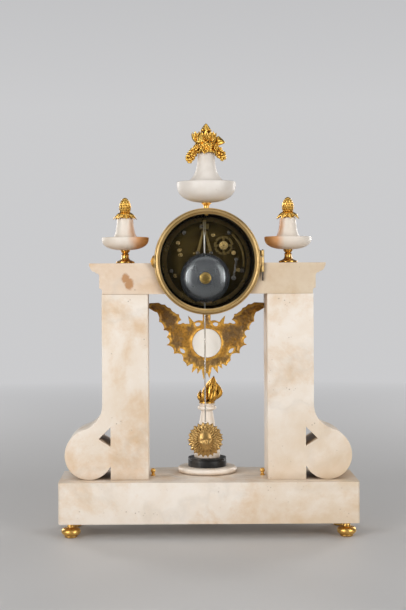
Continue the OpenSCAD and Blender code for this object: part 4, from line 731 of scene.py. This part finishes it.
for angle, out, drop in ((2, 13.5, 13), (98, 12.5, 13.5), (182, 14, 16)):
    cluster = stand @ Matrix.Rotation(math.radians(angle), 4, "Z")
    lean = 90 + math.degrees(math.atan2(drop, 10))
    buds += set_out(bud(18, 5.2, 7), [stand @ around(angle, out - 1.5, 6, lean)])
    for j in range(cluster_berries):
        share = (j + 0.5) / cluster_berries
        spin = math.radians(137.5 * j)
        girth = 4.9 * math.sin(math.pi * (0.14 + 0.76 * share)) ** 0.6
        off = girth * Vector((0.7 * math.cos(spin), math.sin(spin), 0.7 * math.cos(spin)))
        off += 1.1 * noise.random_unit_vector()
        hang = at_mm(out + 10 * share, 0, 4.5 - drop * share) + off / 1000
        berry_places.append(cluster @ Matrix.Translation(hang))
berries = set_out(berry, berry_places)


def bunch(share, turn):
    """Core of the bunch: broad below, drawn in to the calyx of the top bud."""
    return 11 * math.sin(math.pi * (0.2 + 0.78 * share)) ** 0.7 * (1 - 0.5 * share), 30 * share - 0.1


core = turned(16, 24, bunch)
core.data.transform(stand)
trimmings = buds + cups + flowers + calyx + low_leaves + berries
bouquet = joined([core] + trimmings, "top_bouquet_dressed")
stands_for(bouquet, "top_bouquet", bouquet_gilt)

# Drum: sheet brass with a flange behind and hinge lugs at the side, set between the lintel blocks.
# Its outside is lacquered, and its inside is painted near black as shade.
drum_z = 0.3495
wall_inside_r = 0.0636


def off_axis(tree):
    """Distance of a point from the drum's axis, which runs along Y."""
    return far_from(tree, piece_place(tree), (0, 0, drum_z), (1, 0, 1))


brass_age = bpy.data.node_groups.new("brass_age", "ShaderNodeTree")
place = piece_place(brass_age)
turning = shader_node(
    brass_age, "TexNoise", {"W": off_axis(brass_age), "Scale": 2600, "Detail": 2}, noise_dimensions="1D")
put_out(
    brass_age,
    Tarnish=ramp(brass_age, clouds(brass_age, place, 60, 7, 0.68), (0.36, 0), (0.66, 1)),
    Speck=ramp(brass_age, clouds(brass_age, place, 520, 3), (0.62, 0), (0.7, 1)),
    Turning=turning.outputs["Fac"],
    Recess=hollows(brass_age, 0.006, 0.2, 0.85),
)


def brass(name, bright, dull, dark, rough=(0.24, 0.42), extra=None):
    """Brass: tarnished in patches and specks, dark in its corners; extra is a (mask maker, colour)."""
    material, tree, shader = new_finish(name, Metallic=1.0)
    age = aged(tree, brass_age)
    colour = mixed(tree, age["Tarnish"], bright, dull)
    colour = tinted(tree, colour, age["Speck"], 0.5, dark)
    if extra:
        colour = mixed(tree, extra[0](tree), colour, extra[1])
    colour = mixed(tree, age["Recess"], colour, dark)
    height = sums(tree, "ADD", age["Turning"], sums(tree, "MULTIPLY", age["Tarnish"], 0.6))
    feed(tree, shader, colour, between(tree, age["Tarnish"], *rough), height, 0.00006, 0.35)
    return material


def painted_shade_inside_drum(tree):
    """Mask of what lies inside the drum's wall, where the brass is painted near black as shade."""
    return sums(tree, "LESS_THAN", off_axis(tree), wall_inside_r)


drum_brass = brass(
    "drum_brass", (0.72, 0.51, 0.23, 1), (0.52, 0.35, 0.13, 1), (0.12, 0.07, 0.02, 1),
    extra=(painted_shade_inside_drum, (0.022, 0.016, 0.008, 1)))
dressed("drum_shell", drum_brass, 0.0002, 2, 30)

# Apron: a bronze casting of acanthus leaves with a ribbon bow, hung from the drum between the uprights.
# Its back is left brown from the mould, with gold on the edges; the front is gilt and swells like leaves.
casting, tree, shader = new_finish("casting", Metallic=0.85)
age = aged(tree, gilt_age)
place = piece_place(tree)
rim = shader_node(tree, "Attribute", attribute_name="rim").outputs["Fac"]
tear = clouds(tree, place, 110, 4, 0.65)
ragged = sums(tree, "ADD", rim, sums(tree, "MULTIPLY", sums(tree, "SUBTRACT", 0.5, tear), 0.014))
edge = graded(tree, ragged, 0.0038, 0.0014)
facing = along(tree, shader_node(tree, "NewGeometry").outputs["Normal"], "Y")
front = graded(tree, facing, -0.1, 0.4)
patch = clouds(tree, place, 48, 5, 0.7)
patch = ramp(tree, patch, (0.44, 0), (0.56, 1))
sand = clouds(tree, place, 420, 5, 0.7)
up = along(tree, place, "Z")
low_down = graded(tree, up, 0.229, 0.208)
up_high = graded(tree, up, 0.268, 0.298)
back = mixed(tree, patch, (0.35, 0.21, 0.088, 1), (0.62, 0.31, 0.055, 1))
back = tinted(tree, back, low_down, 0.8, (0.50, 0.30, 0.095, 1))
back = tinted(tree, back, ramp(tree, sand, (0.45, 0), (0.62, 1)), 0.45, (0.15, 0.07, 0.022, 1))
back = mixed(tree, edge, back, mixed(tree, age["Blotch"], (0.93, 0.53, 0.105, 1), (0.68, 0.34, 0.06, 1)))
# The upper ends of the back go dark brown: painted shade.
shade = sums(tree, "MULTIPLY", up_high, between(tree, tear, 1.35, 0.35))
back = mixed(tree, sums(tree, "MINIMUM", shade, 0.9), back, (0.085, 0.036, 0.009, 1))
colour = mixed(tree, front, back, (0.84, 0.50, 0.15, 1))
colour = mixed(tree, age["Recess"], colour, (0.12, 0.05, 0.012, 1))
rough = between(tree, age["Blotch"], 0.3, 0.46)
feed(tree, shader, colour, rough, sums(tree, "ADD", sand, tear), 0.0006)

apron = dressed("apron_mount", casting)
remesh = apron.modifiers.new("cast_skin", "REMESH")
remesh.mode = "VOXEL"
remesh.voxel_size = 0.00052
only(apron)
bpy.ops.object.modifier_apply(modifier=remesh.name)
soft = apron.modifiers.new("cast_edges", "SMOOTH")
soft.factor = 0.5
soft.iterations = 5
bpy.ops.object.modifier_apply(modifier=soft.name)
walls = [point.co.copy() for point in apron.data.vertices if abs(point.normal.y) < 0.55]
tree_of_walls = kdtree.KDTree(len(walls))
for index, wall in enumerate(walls):
    tree_of_walls.insert((wall.x, 0, wall.z), index)
tree_of_walls.balance()
rim = apron.data.attributes.new("rim", "FLOAT", "POINT")
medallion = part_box("apron_medallion")
seat = (medallion[0] + medallion[1]) / 2
seat_r = (medallion[1].x - medallion[0].x) / 2
leaf_reach, leaf_swell, leaf_ribs, front_clear = 0.006, 0.42, 26, 0.0015
back_reach, back_swell, mould_rough, back_clear = 0.004, 0.2, 0.0005, 0.0012
shifts = []
for point in apron.data.vertices:
    away = tree_of_walls.find((point.co.x, 0, point.co.z))[2]
    rim.data[point.index].value = away
    spot = Vector((point.co.x - seat.x, 0, point.co.z - seat.z))
    shift = 0.0
    if point.normal.y > 0.5 and spot.length > seat_r + front_clear:
        heading = math.atan2(spot.z, spot.x)
        rib = 0.5 + 0.5 * math.cos(leaf_ribs * heading + 9 * noise.noise(spot * 60))
        shift = min(away, leaf_reach) * leaf_swell * (0.7 + 0.5 * rib)
    elif point.normal.y < -0.5 and spot.length > seat_r + back_clear:
        shift = min(away, back_reach) * back_swell + mould_rough * noise.noise(point.co * 200)
    shifts.append(shift)
for point, shift in zip(apron.data.vertices, shifts):
    point.co.y += shift
only(apron)
bpy.ops.object.shade_smooth_by_angle(angle=math.radians(50))

# Medallion: a round plaque of unglazed white porcelain, held in the apron's ring.
# Its back is plain.
# The porcelain's colours are painted lighter, standing in for the light the uprights keep off it, and its
# hollows take painted shade.
biscuit, tree, shader = new_finish("biscuit", Specular_IOR_Level=0.25)
age = aged(tree, stone_age)
colour = mixed(tree, age["Cloud"], (0.88, 0.85, 0.79, 1), (0.82, 0.78, 0.71, 1))
colour = tinted(tree, colour, age["Grime"], 0.5, (0.45, 0.34, 0.22, 1))
feed(tree, shader, colour, between(tree, age["Grain"], 0.55, 0.75), age["Grain"], 0.00012, 0.3)
dressed("apron_medallion", biscuit, 0.0004, 3, 30)

# Movement: two round brass plates on turned pillars, with the spring barrels and the train between them.
# The brass is old, the plates and fittings inside the drum are painted dark as shade, and the arbors are
# steel.
# Plates: aged brass painted far darker, as the shade inside the drum.
old_brass_painted_shade = brass(
    "old_brass_painted_shade", (0.062, 0.042, 0.012, 1), (0.037, 0.024, 0.007, 1), (0.012, 0.008, 0.003, 1),
    (0.42, 0.6))
# Cocks, hammer spring and count wheel: aged brass darkened with painted shade.
dim_brass_painted_shade = brass(
    "dim_brass_painted_shade", (0.17, 0.118, 0.042, 1), (0.10, 0.068, 0.023, 1), (0.02, 0.013, 0.004, 1), (0.3, 0.48))
work_brass = brass(
    "work_brass", (0.62, 0.43, 0.17, 1), (0.42, 0.28, 0.10, 1), (0.08, 0.05, 0.018, 1), (0.22, 0.38))


def blued(name, bright, dull, rusty):
    """Steel, polished or blued, with a little rust in specks."""
    material, tree, shader = new_finish(name, Metallic=1.0)
    age = aged(tree, brass_age)
    colour = mixed(tree, age["Tarnish"], bright, dull)
    colour = tinted(tree, colour, age["Speck"], 0.6, rusty)
    feed(tree, shader, colour, between(tree, age["Tarnish"], 0.2, 0.38), age["Turning"], 0.00004, 0.3)
    return material


steel = blued("steel", (0.42, 0.41, 0.40, 1), (0.26, 0.25, 0.25, 1), (0.12, 0.07, 0.04, 1))
dark_steel = blued("dark_steel", (0.15, 0.135, 0.12, 1), (0.085, 0.072, 0.06, 1), (0.06, 0.03, 0.015, 1))
for node in ("front_plate", "back_plate"):
    dressed(node, old_brass_painted_shade, 0.0004, 2, 30)
dressed("plate_pillars", work_brass, 0.0002, 2, 30)
for node in (
        "going_barrel", "strike_barrel", "centre_wheel", "third_wheel", "escape_wheel", "minute_wheel"):
    dressed(node, work_brass, crease=28)
for node in ("going_arbor", "strike_arbor"):
    dressed(node, steel, 0.0002, 2, 30)

# Plate fittings: slotted screws, oiled pivot holes and a long curved spring on the outside of the
# back plate. The screws hold the cocks and the pillars; the spring presses on the hammer's tail.
plate_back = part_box("back_plate")[0].y
plate_mm = plate_back * 1000
upended = Matrix.Rotation(math.pi / 2, 4, "X")


def screw(head_r, head_h):
    """Slotted screw head that faces -Y, with its foot at the origin."""
    bpy.ops.object.select_all(action="DESELECT")
    bpy.ops.mesh.primitive_cylinder_add(
        vertices=28, radius=head_r, depth=head_h, location=(0, 0, head_h / 2))
    head = bpy.context.object
    bpy.ops.object.transform_apply(location=True)
    soften(head, head_r * 0.16, 3, 40)
    bpy.ops.mesh.primitive_cube_add(size=1, location=(0, 0, head_h))
    slot = bpy.context.object
    slot.scale = (head_r * 3, head_r * 0.3, head_h * 0.9)
    bpy.ops.object.transform_apply(location=True, scale=True)
    only(head)
    sawn = head.modifiers.new("slot", "BOOLEAN")
    sawn.operation = "DIFFERENCE"
    sawn.object = slot
    bpy.ops.object.modifier_apply(modifier=sawn.name)
    bpy.data.objects.remove(slot)
    bpy.ops.object.shade_smooth_by_angle(angle=math.radians(30))
    head.data.transform(upended)
    return head


def facing_back(x, y, z, turn=0.0):
    """Place of a fitting at a point in millimetres, turned about the Y axis."""
    return Matrix.Translation(at_mm(x, y, z)) @ Matrix.Rotation(math.radians(turn), 4, "Y")


pillar_ring = 47.5
pillar_places = []
for turn in (52, 128, 195, 270, 345):
    pillar_x = pillar_ring * math.cos(math.radians(turn))
    pillar_z = 1000 * drum_z + pillar_ring * math.sin(math.radians(turn))
    pillar_places.append(facing_back(pillar_x, plate_mm, pillar_z, 40 * len(pillar_places)))
plate_screws = set_out(screw(0.0026, 0.0014), pillar_places)
fasten(joined(plate_screws, "plate_screws"), dark_steel, "case")

bpy.ops.object.select_all(action="DESELECT")
bpy.ops.mesh.primitive_torus_add(
    major_radius=0.0021, minor_radius=0.00055, major_segments=28, minor_segments=8)
sink = bpy.context.object
sink.data.transform(upended)
bpy.ops.object.shade_smooth()
sink_places = ((-37.4, 373.7), (-35.4, 364.5), (-34.1, 358.0), (8.5, 384), (-41, 331), (41, 338))
sinks = set_out(sink, [facing_back(x, plate_mm - 0.1, z) for x, z in sink_places])
bpy.ops.mesh.primitive_cylinder_add(vertices=20, radius=0.0011, depth=0.0012)
pivot = soften(bpy.context.object, 0.0003, 2, 40)
pivot.data.transform(upended)
pivots = set_out(pivot, [facing_back(x, plate_mm - 0.2, z) for x, z in sink_places])
bpy.ops.mesh.primitive_cylinder_add(vertices=32, radius=0.0029, depth=0.002)
stud = soften(bpy.context.object, 0.0005, 3, 40)
stud.data.transform(facing_back(35, plate_mm - 1, 360.5) @ upended)
fasten(joined(sinks + pivots + [stud], "pivot_holes"), work_brass, "case")

spring_r, spring_deep, spring_wide = 0.0485, 0.0012, 0.0028
spring_foot_z, spring_end_x = 0.342, 0.0335
bpy.ops.object.select_all(action="DESELECT")
bpy.ops.mesh.primitive_circle_add(vertices=120, radius=spring_r, fill_type="NOTHING")
spring = bpy.context.object
spring.data.transform(Matrix.Translation((0, plate_back, drum_z)) @ upended)
bpy.ops.object.mode_set(mode="EDIT")
bpy.ops.mesh.select_all(action="SELECT")
bpy.ops.mesh.extrude_region_move(TRANSFORM_OT_translate={"value": (0, -spring_deep, 0)})
bpy.ops.mesh.select_all(action="SELECT")
bpy.ops.mesh.bisect(plane_co=(0, 0, spring_foot_z), plane_no=(0, 0, 1), clear_inner=True)
bpy.ops.mesh.select_all(action="SELECT")
bpy.ops.mesh.bisect(plane_co=(spring_end_x, 0, drum_z), plane_no=(1, 0, 0), clear_inner=True)
bpy.ops.object.mode_set(mode="OBJECT")
skin = spring.modifiers.new("thickness", "SOLIDIFY")
skin.thickness = spring_wide
skin.offset = 0
only(spring)
bpy.ops.object.modifier_apply(modifier=skin.name)
soften(spring, 0.0003, 2, 40)
spring.name = "hammer_spring"
fasten(spring, dim_brass_painted_shade, "case")

# Dial: white enamel on a brass plate, with Roman hours, a minute track and two winding holes.
# The figures are fired on in black and stand a hair above the enamel.
dressed("dial_plate", work_brass, 0.0002, 2, 30)
enamel, tree, shader = new_finish("enamel", Coat_Weight=0.6, Coat_Roughness=0.06)
age = aged(tree, stone_age)
colour = mixed(tree, age["Cloud"], (0.82, 0.80, 0.75, 1), (0.77, 0.74, 0.68, 1))
colour = tinted(tree, colour, age["Vein"], 0.22, (0.42, 0.39, 0.35, 1))
feed(tree, shader, colour, between(tree, age["Cloud"], 0.12, 0.2), age["Cloud"], 0.00008, 0.15)
dressed("dial", enamel, 0.0002, 2, 30)
fired_black, tree, shader = new_finish("fired_black")
age = aged(tree, gilt_age)
colour = mixed(tree, age["Blotch"], (0.010, 0.010, 0.012, 1), (0.022, 0.021, 0.022, 1))
feed(tree, shader, colour, between(tree, age["Blotch"], 0.25, 0.4))
dial_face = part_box("dial")[1].y
facing_front = Matrix(((-1, 0, 0, 0), (0, 0, 1, dial_face), (0, 1, 0, drum_z), (0, 0, 0, 1)))
figure_h, figure_ring = 0.0125, 0.0405
tick_ring = 0.0519
figures = []
hours = ("XII", "I", "II", "III", "IIII", "V", "VI", "VII", "VIII", "IX", "X", "XI")
for hour, figure in enumerate(hours):
    turn = math.radians(30 * hour)
    bpy.ops.object.select_all(action="DESELECT")
    bpy.ops.object.text_add()
    letters = bpy.context.object
    letters.data.body = figure
    letters.data.size = figure_h * 1.4
    letters.data.align_x = "CENTER"
    letters.data.align_y = "CENTER"
    letters.data.extrude = 0.00002
    bpy.ops.object.convert(target="MESH")
    letters = bpy.context.object
    slim = Matrix.Diagonal((0.62 if len(figure) > 3 else 0.78, 1, 1, 1))
    letters.data.transform(
        facing_front @ Matrix.Rotation(-turn, 4, "Z") @ Matrix.Translation((0, figure_ring, 0)) @ slim)
    figures.append(letters)
bpy.ops.object.select_all(action="DESELECT")
bpy.ops.mesh.primitive_cube_add(size=1)
tick = bpy.context.object
tick.data.transform(Matrix.Diagonal((0.0005, 0.00004, 0.0026, 1)))
bpy.ops.object.mode_set(mode="EDIT")
bpy.ops.mesh.select_all(action="SELECT")
bpy.ops.mesh.subdivide(number_cuts=1)
bpy.ops.object.mode_set(mode="OBJECT")
dial_centre = Matrix.Translation((0, dial_face, drum_z))
tick_places = []
for minute in range(60):
    wide = Matrix.Diagonal((2.6 if minute % 5 == 0 else 1, 1, 1, 1))
    turn = Matrix.Rotation(math.radians(6 * minute), 4, "Y")
    tick_places.append(dial_centre @ turn @ Matrix.Translation((0, 0, tick_ring)) @ wide)
ticks = set_out(tick, tick_places)
rings = []
for radius in (0.0505, 0.0533):
    bpy.ops.object.select_all(action="DESELECT")
    bpy.ops.mesh.primitive_torus_add(
        major_radius=radius, minor_radius=0.00016, major_segments=120, minor_segments=6)
    ring = bpy.context.object
    ring.data.transform(dial_centre @ upended @ Matrix.Diagonal((1, 1, 0.2, 1)))
    rings.append(ring)
fasten(joined(figures + ticks + rings, "dial_figures"), fired_black, "case")

# Hands: pierced and gilt, the hour hand on its pipe and the minute hand on the cannon pinion.
# Both turn with the motion work behind the dial.
for node in ("hour_hand", "minute_hand"):
    dressed(node, gilt, crease=28)

# Front bezel: a moulded brass ring on a hinge, with a domed glass held behind its lip.
# The pin of the hinge is steel.
turned_lines = (0.0661, 0.0627)
leaf_x = -0.0682


def groove_shade_and_dark_leaf(tree):
    """Mask of the painted shade in a bezel's turned lines, and of the small leaf at the left of the back
    bezel, which is made darker.
    """
    darkened = sums(tree, "LESS_THAN", along(tree, piece_place(tree), "X"), leaf_x)
    reach = off_axis(tree)
    for line in turned_lines:
        away = sums(tree, "ABSOLUTE", sums(tree, "SUBTRACT", reach, line), 0)
        darkened = sums(tree, "MAXIMUM", darkened, graded(tree, away, 0.0008, 0.0))
    return darkened


# The turned lines carry painted shade, and the leaf at the left is darker.
ring_brass = brass(
    "ring_brass", (0.70, 0.49, 0.225, 1), (0.58, 0.39, 0.16, 1), (0.14, 0.08, 0.022, 1), (0.32, 0.42),
    (groove_shade_and_dark_leaf, (0.38, 0.20, 0.045, 1)))
dressed("front_bezel", ring_brass, 0.0002, 2, 30)
glass, tree, shader = new_finish(
    "clear_glass", Base_Color=(0.97, 0.99, 0.98, 1), Roughness=0.0, IOR=1.12, Transmission_Weight=1.0)
shadow = shader_node(tree, "LightPath").outputs["Is Shadow Ray"]
clear = shader_node(tree, "BsdfTransparent").outputs[0]
pane = shader_node(tree, "MixShader", {0: shadow, 1: shader.outputs[0], 2: clear}).outputs[0]
tree.links.new(pane, tree.nodes["Material Output"].inputs["Surface"])
dressed("front_glass", glass, crease=30)
dressed("front_hinge_pin", steel, 0.0002, 2, 30)

# Suspension: a brass cock on the back plate carries the pendulum on a loop of silk thread.
# A second cock, shaped like an A, carries the pallet arbor with its crutch.
dressed("pallet_cock", dim_brass_painted_shade, 0.0003, 2, 30)
dressed("suspension_cock", dim_brass_painted_shade, 0.0003, 2, 30)
dressed("pallet_crutch", steel, 0.00015, 2, 30)
cock_screws = set_out(
    screw(0.0023, 0.0013),
    [facing_back(-11.6, -11.6, 360.5, 20), facing_back(5.6, -11.6, 360.5, 75),
     facing_back(-6.5, -10.5, 395, 110)])
fasten(joined(cock_screws, "cock_screws"), dark_steel, "case")
silk, tree, shader = new_finish("silk", Sheen_Weight=0.4, Sheen_Roughness=0.4)
twist = shader_node(
    tree, "TexWave", {"Vector": piece_place(tree), "Scale": 700, "Distortion": 1.5},
    bands_direction="DIAGONAL").outputs["Fac"]
colour = mixed(tree, twist, (0.17, 0.14, 0.09, 1), (0.28, 0.24, 0.17, 1))
feed(tree, shader, colour, between(tree, twist, 0.6, 0.8), twist, 0.0002)
dressed("suspension_silk", silk, crease=40)

# Pendulum: a thin steel rod with a gilt sunburst on its end.
# Three rows of pointed rays surround a calm mask with waved hair, chased and gilt.
rod_steel, tree, shader = new_finish("rod_steel", Metallic=1.0)
age = aged(tree, brass_age)
colour = mixed(tree, age["Tarnish"], (0.46, 0.43, 0.39, 1), (0.27, 0.24, 0.21, 1))
feed(tree, shader, colour, between(tree, age["Tarnish"], 0.25, 0.45), age["Speck"], 0.00005)
dressed("pendulum_rod", rod_steel, crease=30)
bob_gilt = gilding(
    "bob_gilt", (0.54, 0.35, 0.135, 1), (0.34, 0.205, 0.07, 1), (0.06, 0.028, 0.007, 1), (0.3, 0.46))
low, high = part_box("sun_mask")
bob = Vector(((low.x + high.x) / 2, high.y - 0.0022, (low.z + high.z) / 2))


def ray_place(angle, radius, lift):
    """Place on the sunburst: +X runs outwards and +Z towards the back of the clock."""
    return (
        Matrix.Translation(bob)
        @ Matrix.Rotation(math.radians(angle), 4, "Y")
        @ upended
        @ Matrix.Translation((radius, 0, lift))
    )


rays = []
for count, start, reach, length, width, lift in (
        (22, 0, 0.0115, 0.0118, 0.0068, 0.0012), (22, 8.2, 0.0112, 0.0095, 0.0056, 0.0022),
        (20, 3, 0.0102, 0.0080, 0.0048, 0.0031)):
    rays += set_out(
        blade(length, width, 0.0012, -0.22, 0.0006, 0, 8),
        [ray_place(start + 360 * k / count, reach, lift) for k in range(count)])
waved = Matrix.Rotation(0.45, 4, "Z")
locks = []
for row, (count, radius, lift) in enumerate(((28, 0.0106, 0.0040), (24, 0.0094, 0.0050))):
    locks += set_out(
        blade(0.0066, 0.0030, 0.0016, -0.55, 0.0007, 0, 8),
        [ray_place(8 * row + 360 * k / count, radius, lift) @ waved for k in range(count)])
bpy.ops.object.select_all(action="DESELECT")
bpy.ops.mesh.primitive_uv_sphere_add(segments=96, ring_count=64, radius=1)
mask = bpy.context.object


def bump_at(x, z, at_x, at_z, wide, tall):
    """Rounded bump on the mask, with its place and half sizes in head units."""
    return math.exp(-((x - at_x) / wide) ** 2 - ((z - at_z) / tall) ** 2)


head_wide, head_deep, head_tall = 0.0106, 0.0060, 0.0138
relief = 1.3
# Each feature has its height, its place across and up, and its half width and half height.
features = {
    "nostrils": (0.13, 0.13, -0.40, 0.08, 0.08),
    "brows": (0.10, 0.34, 0.17, 0.24, 0.07),
    "sockets": (-0.17, 0.36, 0.02, 0.20, 0.10),
    "lids": (0.13, 0.36, 0.01, 0.13, 0.06),
    "lid_lines": (-0.04, 0.36, 0.0, 0.14, 0.015),
    "cheeks": (0.09, 0.44, -0.32, 0.18, 0.18),
    "upper_lip": (0.11, 0, -0.57, 0.22, 0.05),
    "lower_lip": (0.10, 0, -0.68, 0.18, 0.055),
    "mouth_line": (-0.09, 0, -0.625, 0.24, 0.018),
    "chin": (0.14, 0, -0.88, 0.22, 0.10),
}
for point in mask.data.vertices:
    x, y, z = point.co
    rise = 0.0
    if y < 0:
        nose_wide = 0.10 + 0.07 * max(0.0, 0.1 - z)
        rise += 0.30 * bump_at(x, z, 0, -0.28, nose_wide, 0.26)
        for height, at_x, at_z, wide, tall in features.values():
            rise += height * bump_at(abs(x), z, at_x, at_z, wide, tall)
    jaw = 1 - 0.16 * max(0.0, -z) ** 1.5
    point.co = (x * head_wide * jaw, (y - relief * rise) * head_deep, z * head_tall)
smooth(mask)
head_tilt = Matrix.Rotation(math.radians(-5), 4, "Y")
mask.data.transform(Matrix.Translation(bob + Vector((0, -0.0028, 0))) @ head_tilt)
burst = dressed("sun_mask", bob_gilt, 0.0002, 2, 35)
for piece in rays + locks + [mask]:
    piece.data.materials.append(bob_gilt)
joined([burst] + rays + locks + [mask], "sun_mask_dressed")

# Striking work: a count wheel on the back plate, and a bell on a stand with a small steel hammer.
# The bell is polished dark, and a turned gilt nut holds it.
dressed("count_wheel", dim_brass_painted_shade, crease=28)
low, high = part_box("count_wheel")
bpy.ops.object.select_all(action="DESELECT")
bpy.ops.mesh.primitive_cylinder_add(vertices=48, radius=0.0055, depth=0.0008)
boss = soften(bpy.context.object, 0.0003, 3, 40)
boss.data.transform(
    Matrix.Translation(((low.x + high.x) / 2, low.y + 0.0005, (low.z + high.z) / 2)) @ upended)
boss.name = "count_boss"
fasten(boss, work_brass, nodes["count_wheel"]["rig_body"])
dressed("bell_stand", steel, 0.0002, 2, 30)
bell_metal, tree, shader = new_finish("bell_metal", Metallic=0.55, Coat_Weight=1.0, Coat_Roughness=0.08)
age = aged(tree, brass_age)
colour = mixed(tree, age["Tarnish"], (0.068, 0.070, 0.075, 1), (0.053, 0.055, 0.059, 1))
colour = tinted(tree, colour, age["Speck"], 0.4, (0.05, 0.045, 0.04, 1))
feed(tree, shader, colour, between(tree, age["Tarnish"], 0.21, 0.28), age["Turning"], 0.00002, 0.2)
dressed("bell", bell_metal, crease=30)
nut_brass = brass(
    "nut_brass", (0.68, 0.46, 0.15, 1), (0.50, 0.32, 0.09, 1), (0.08, 0.05, 0.015, 1), (0.34, 0.5))
dressed("bell_nut", nut_brass, 0.0003, 3, 30)
dressed("hammer", dark_steel, 0.0003, 2, 30)

# Back bezel: a stepped brass ring on a hinge, with a flat glass and a small leaf to open it by.
# A long steel pin runs through the knuckles and hangs below them.
dressed("back_bezel", ring_brass, 0.0002, 2, 30)
dressed("back_glass", glass, crease=30)
dressed("back_hinge_pin", dark_steel, 0.0002, 2, 30)
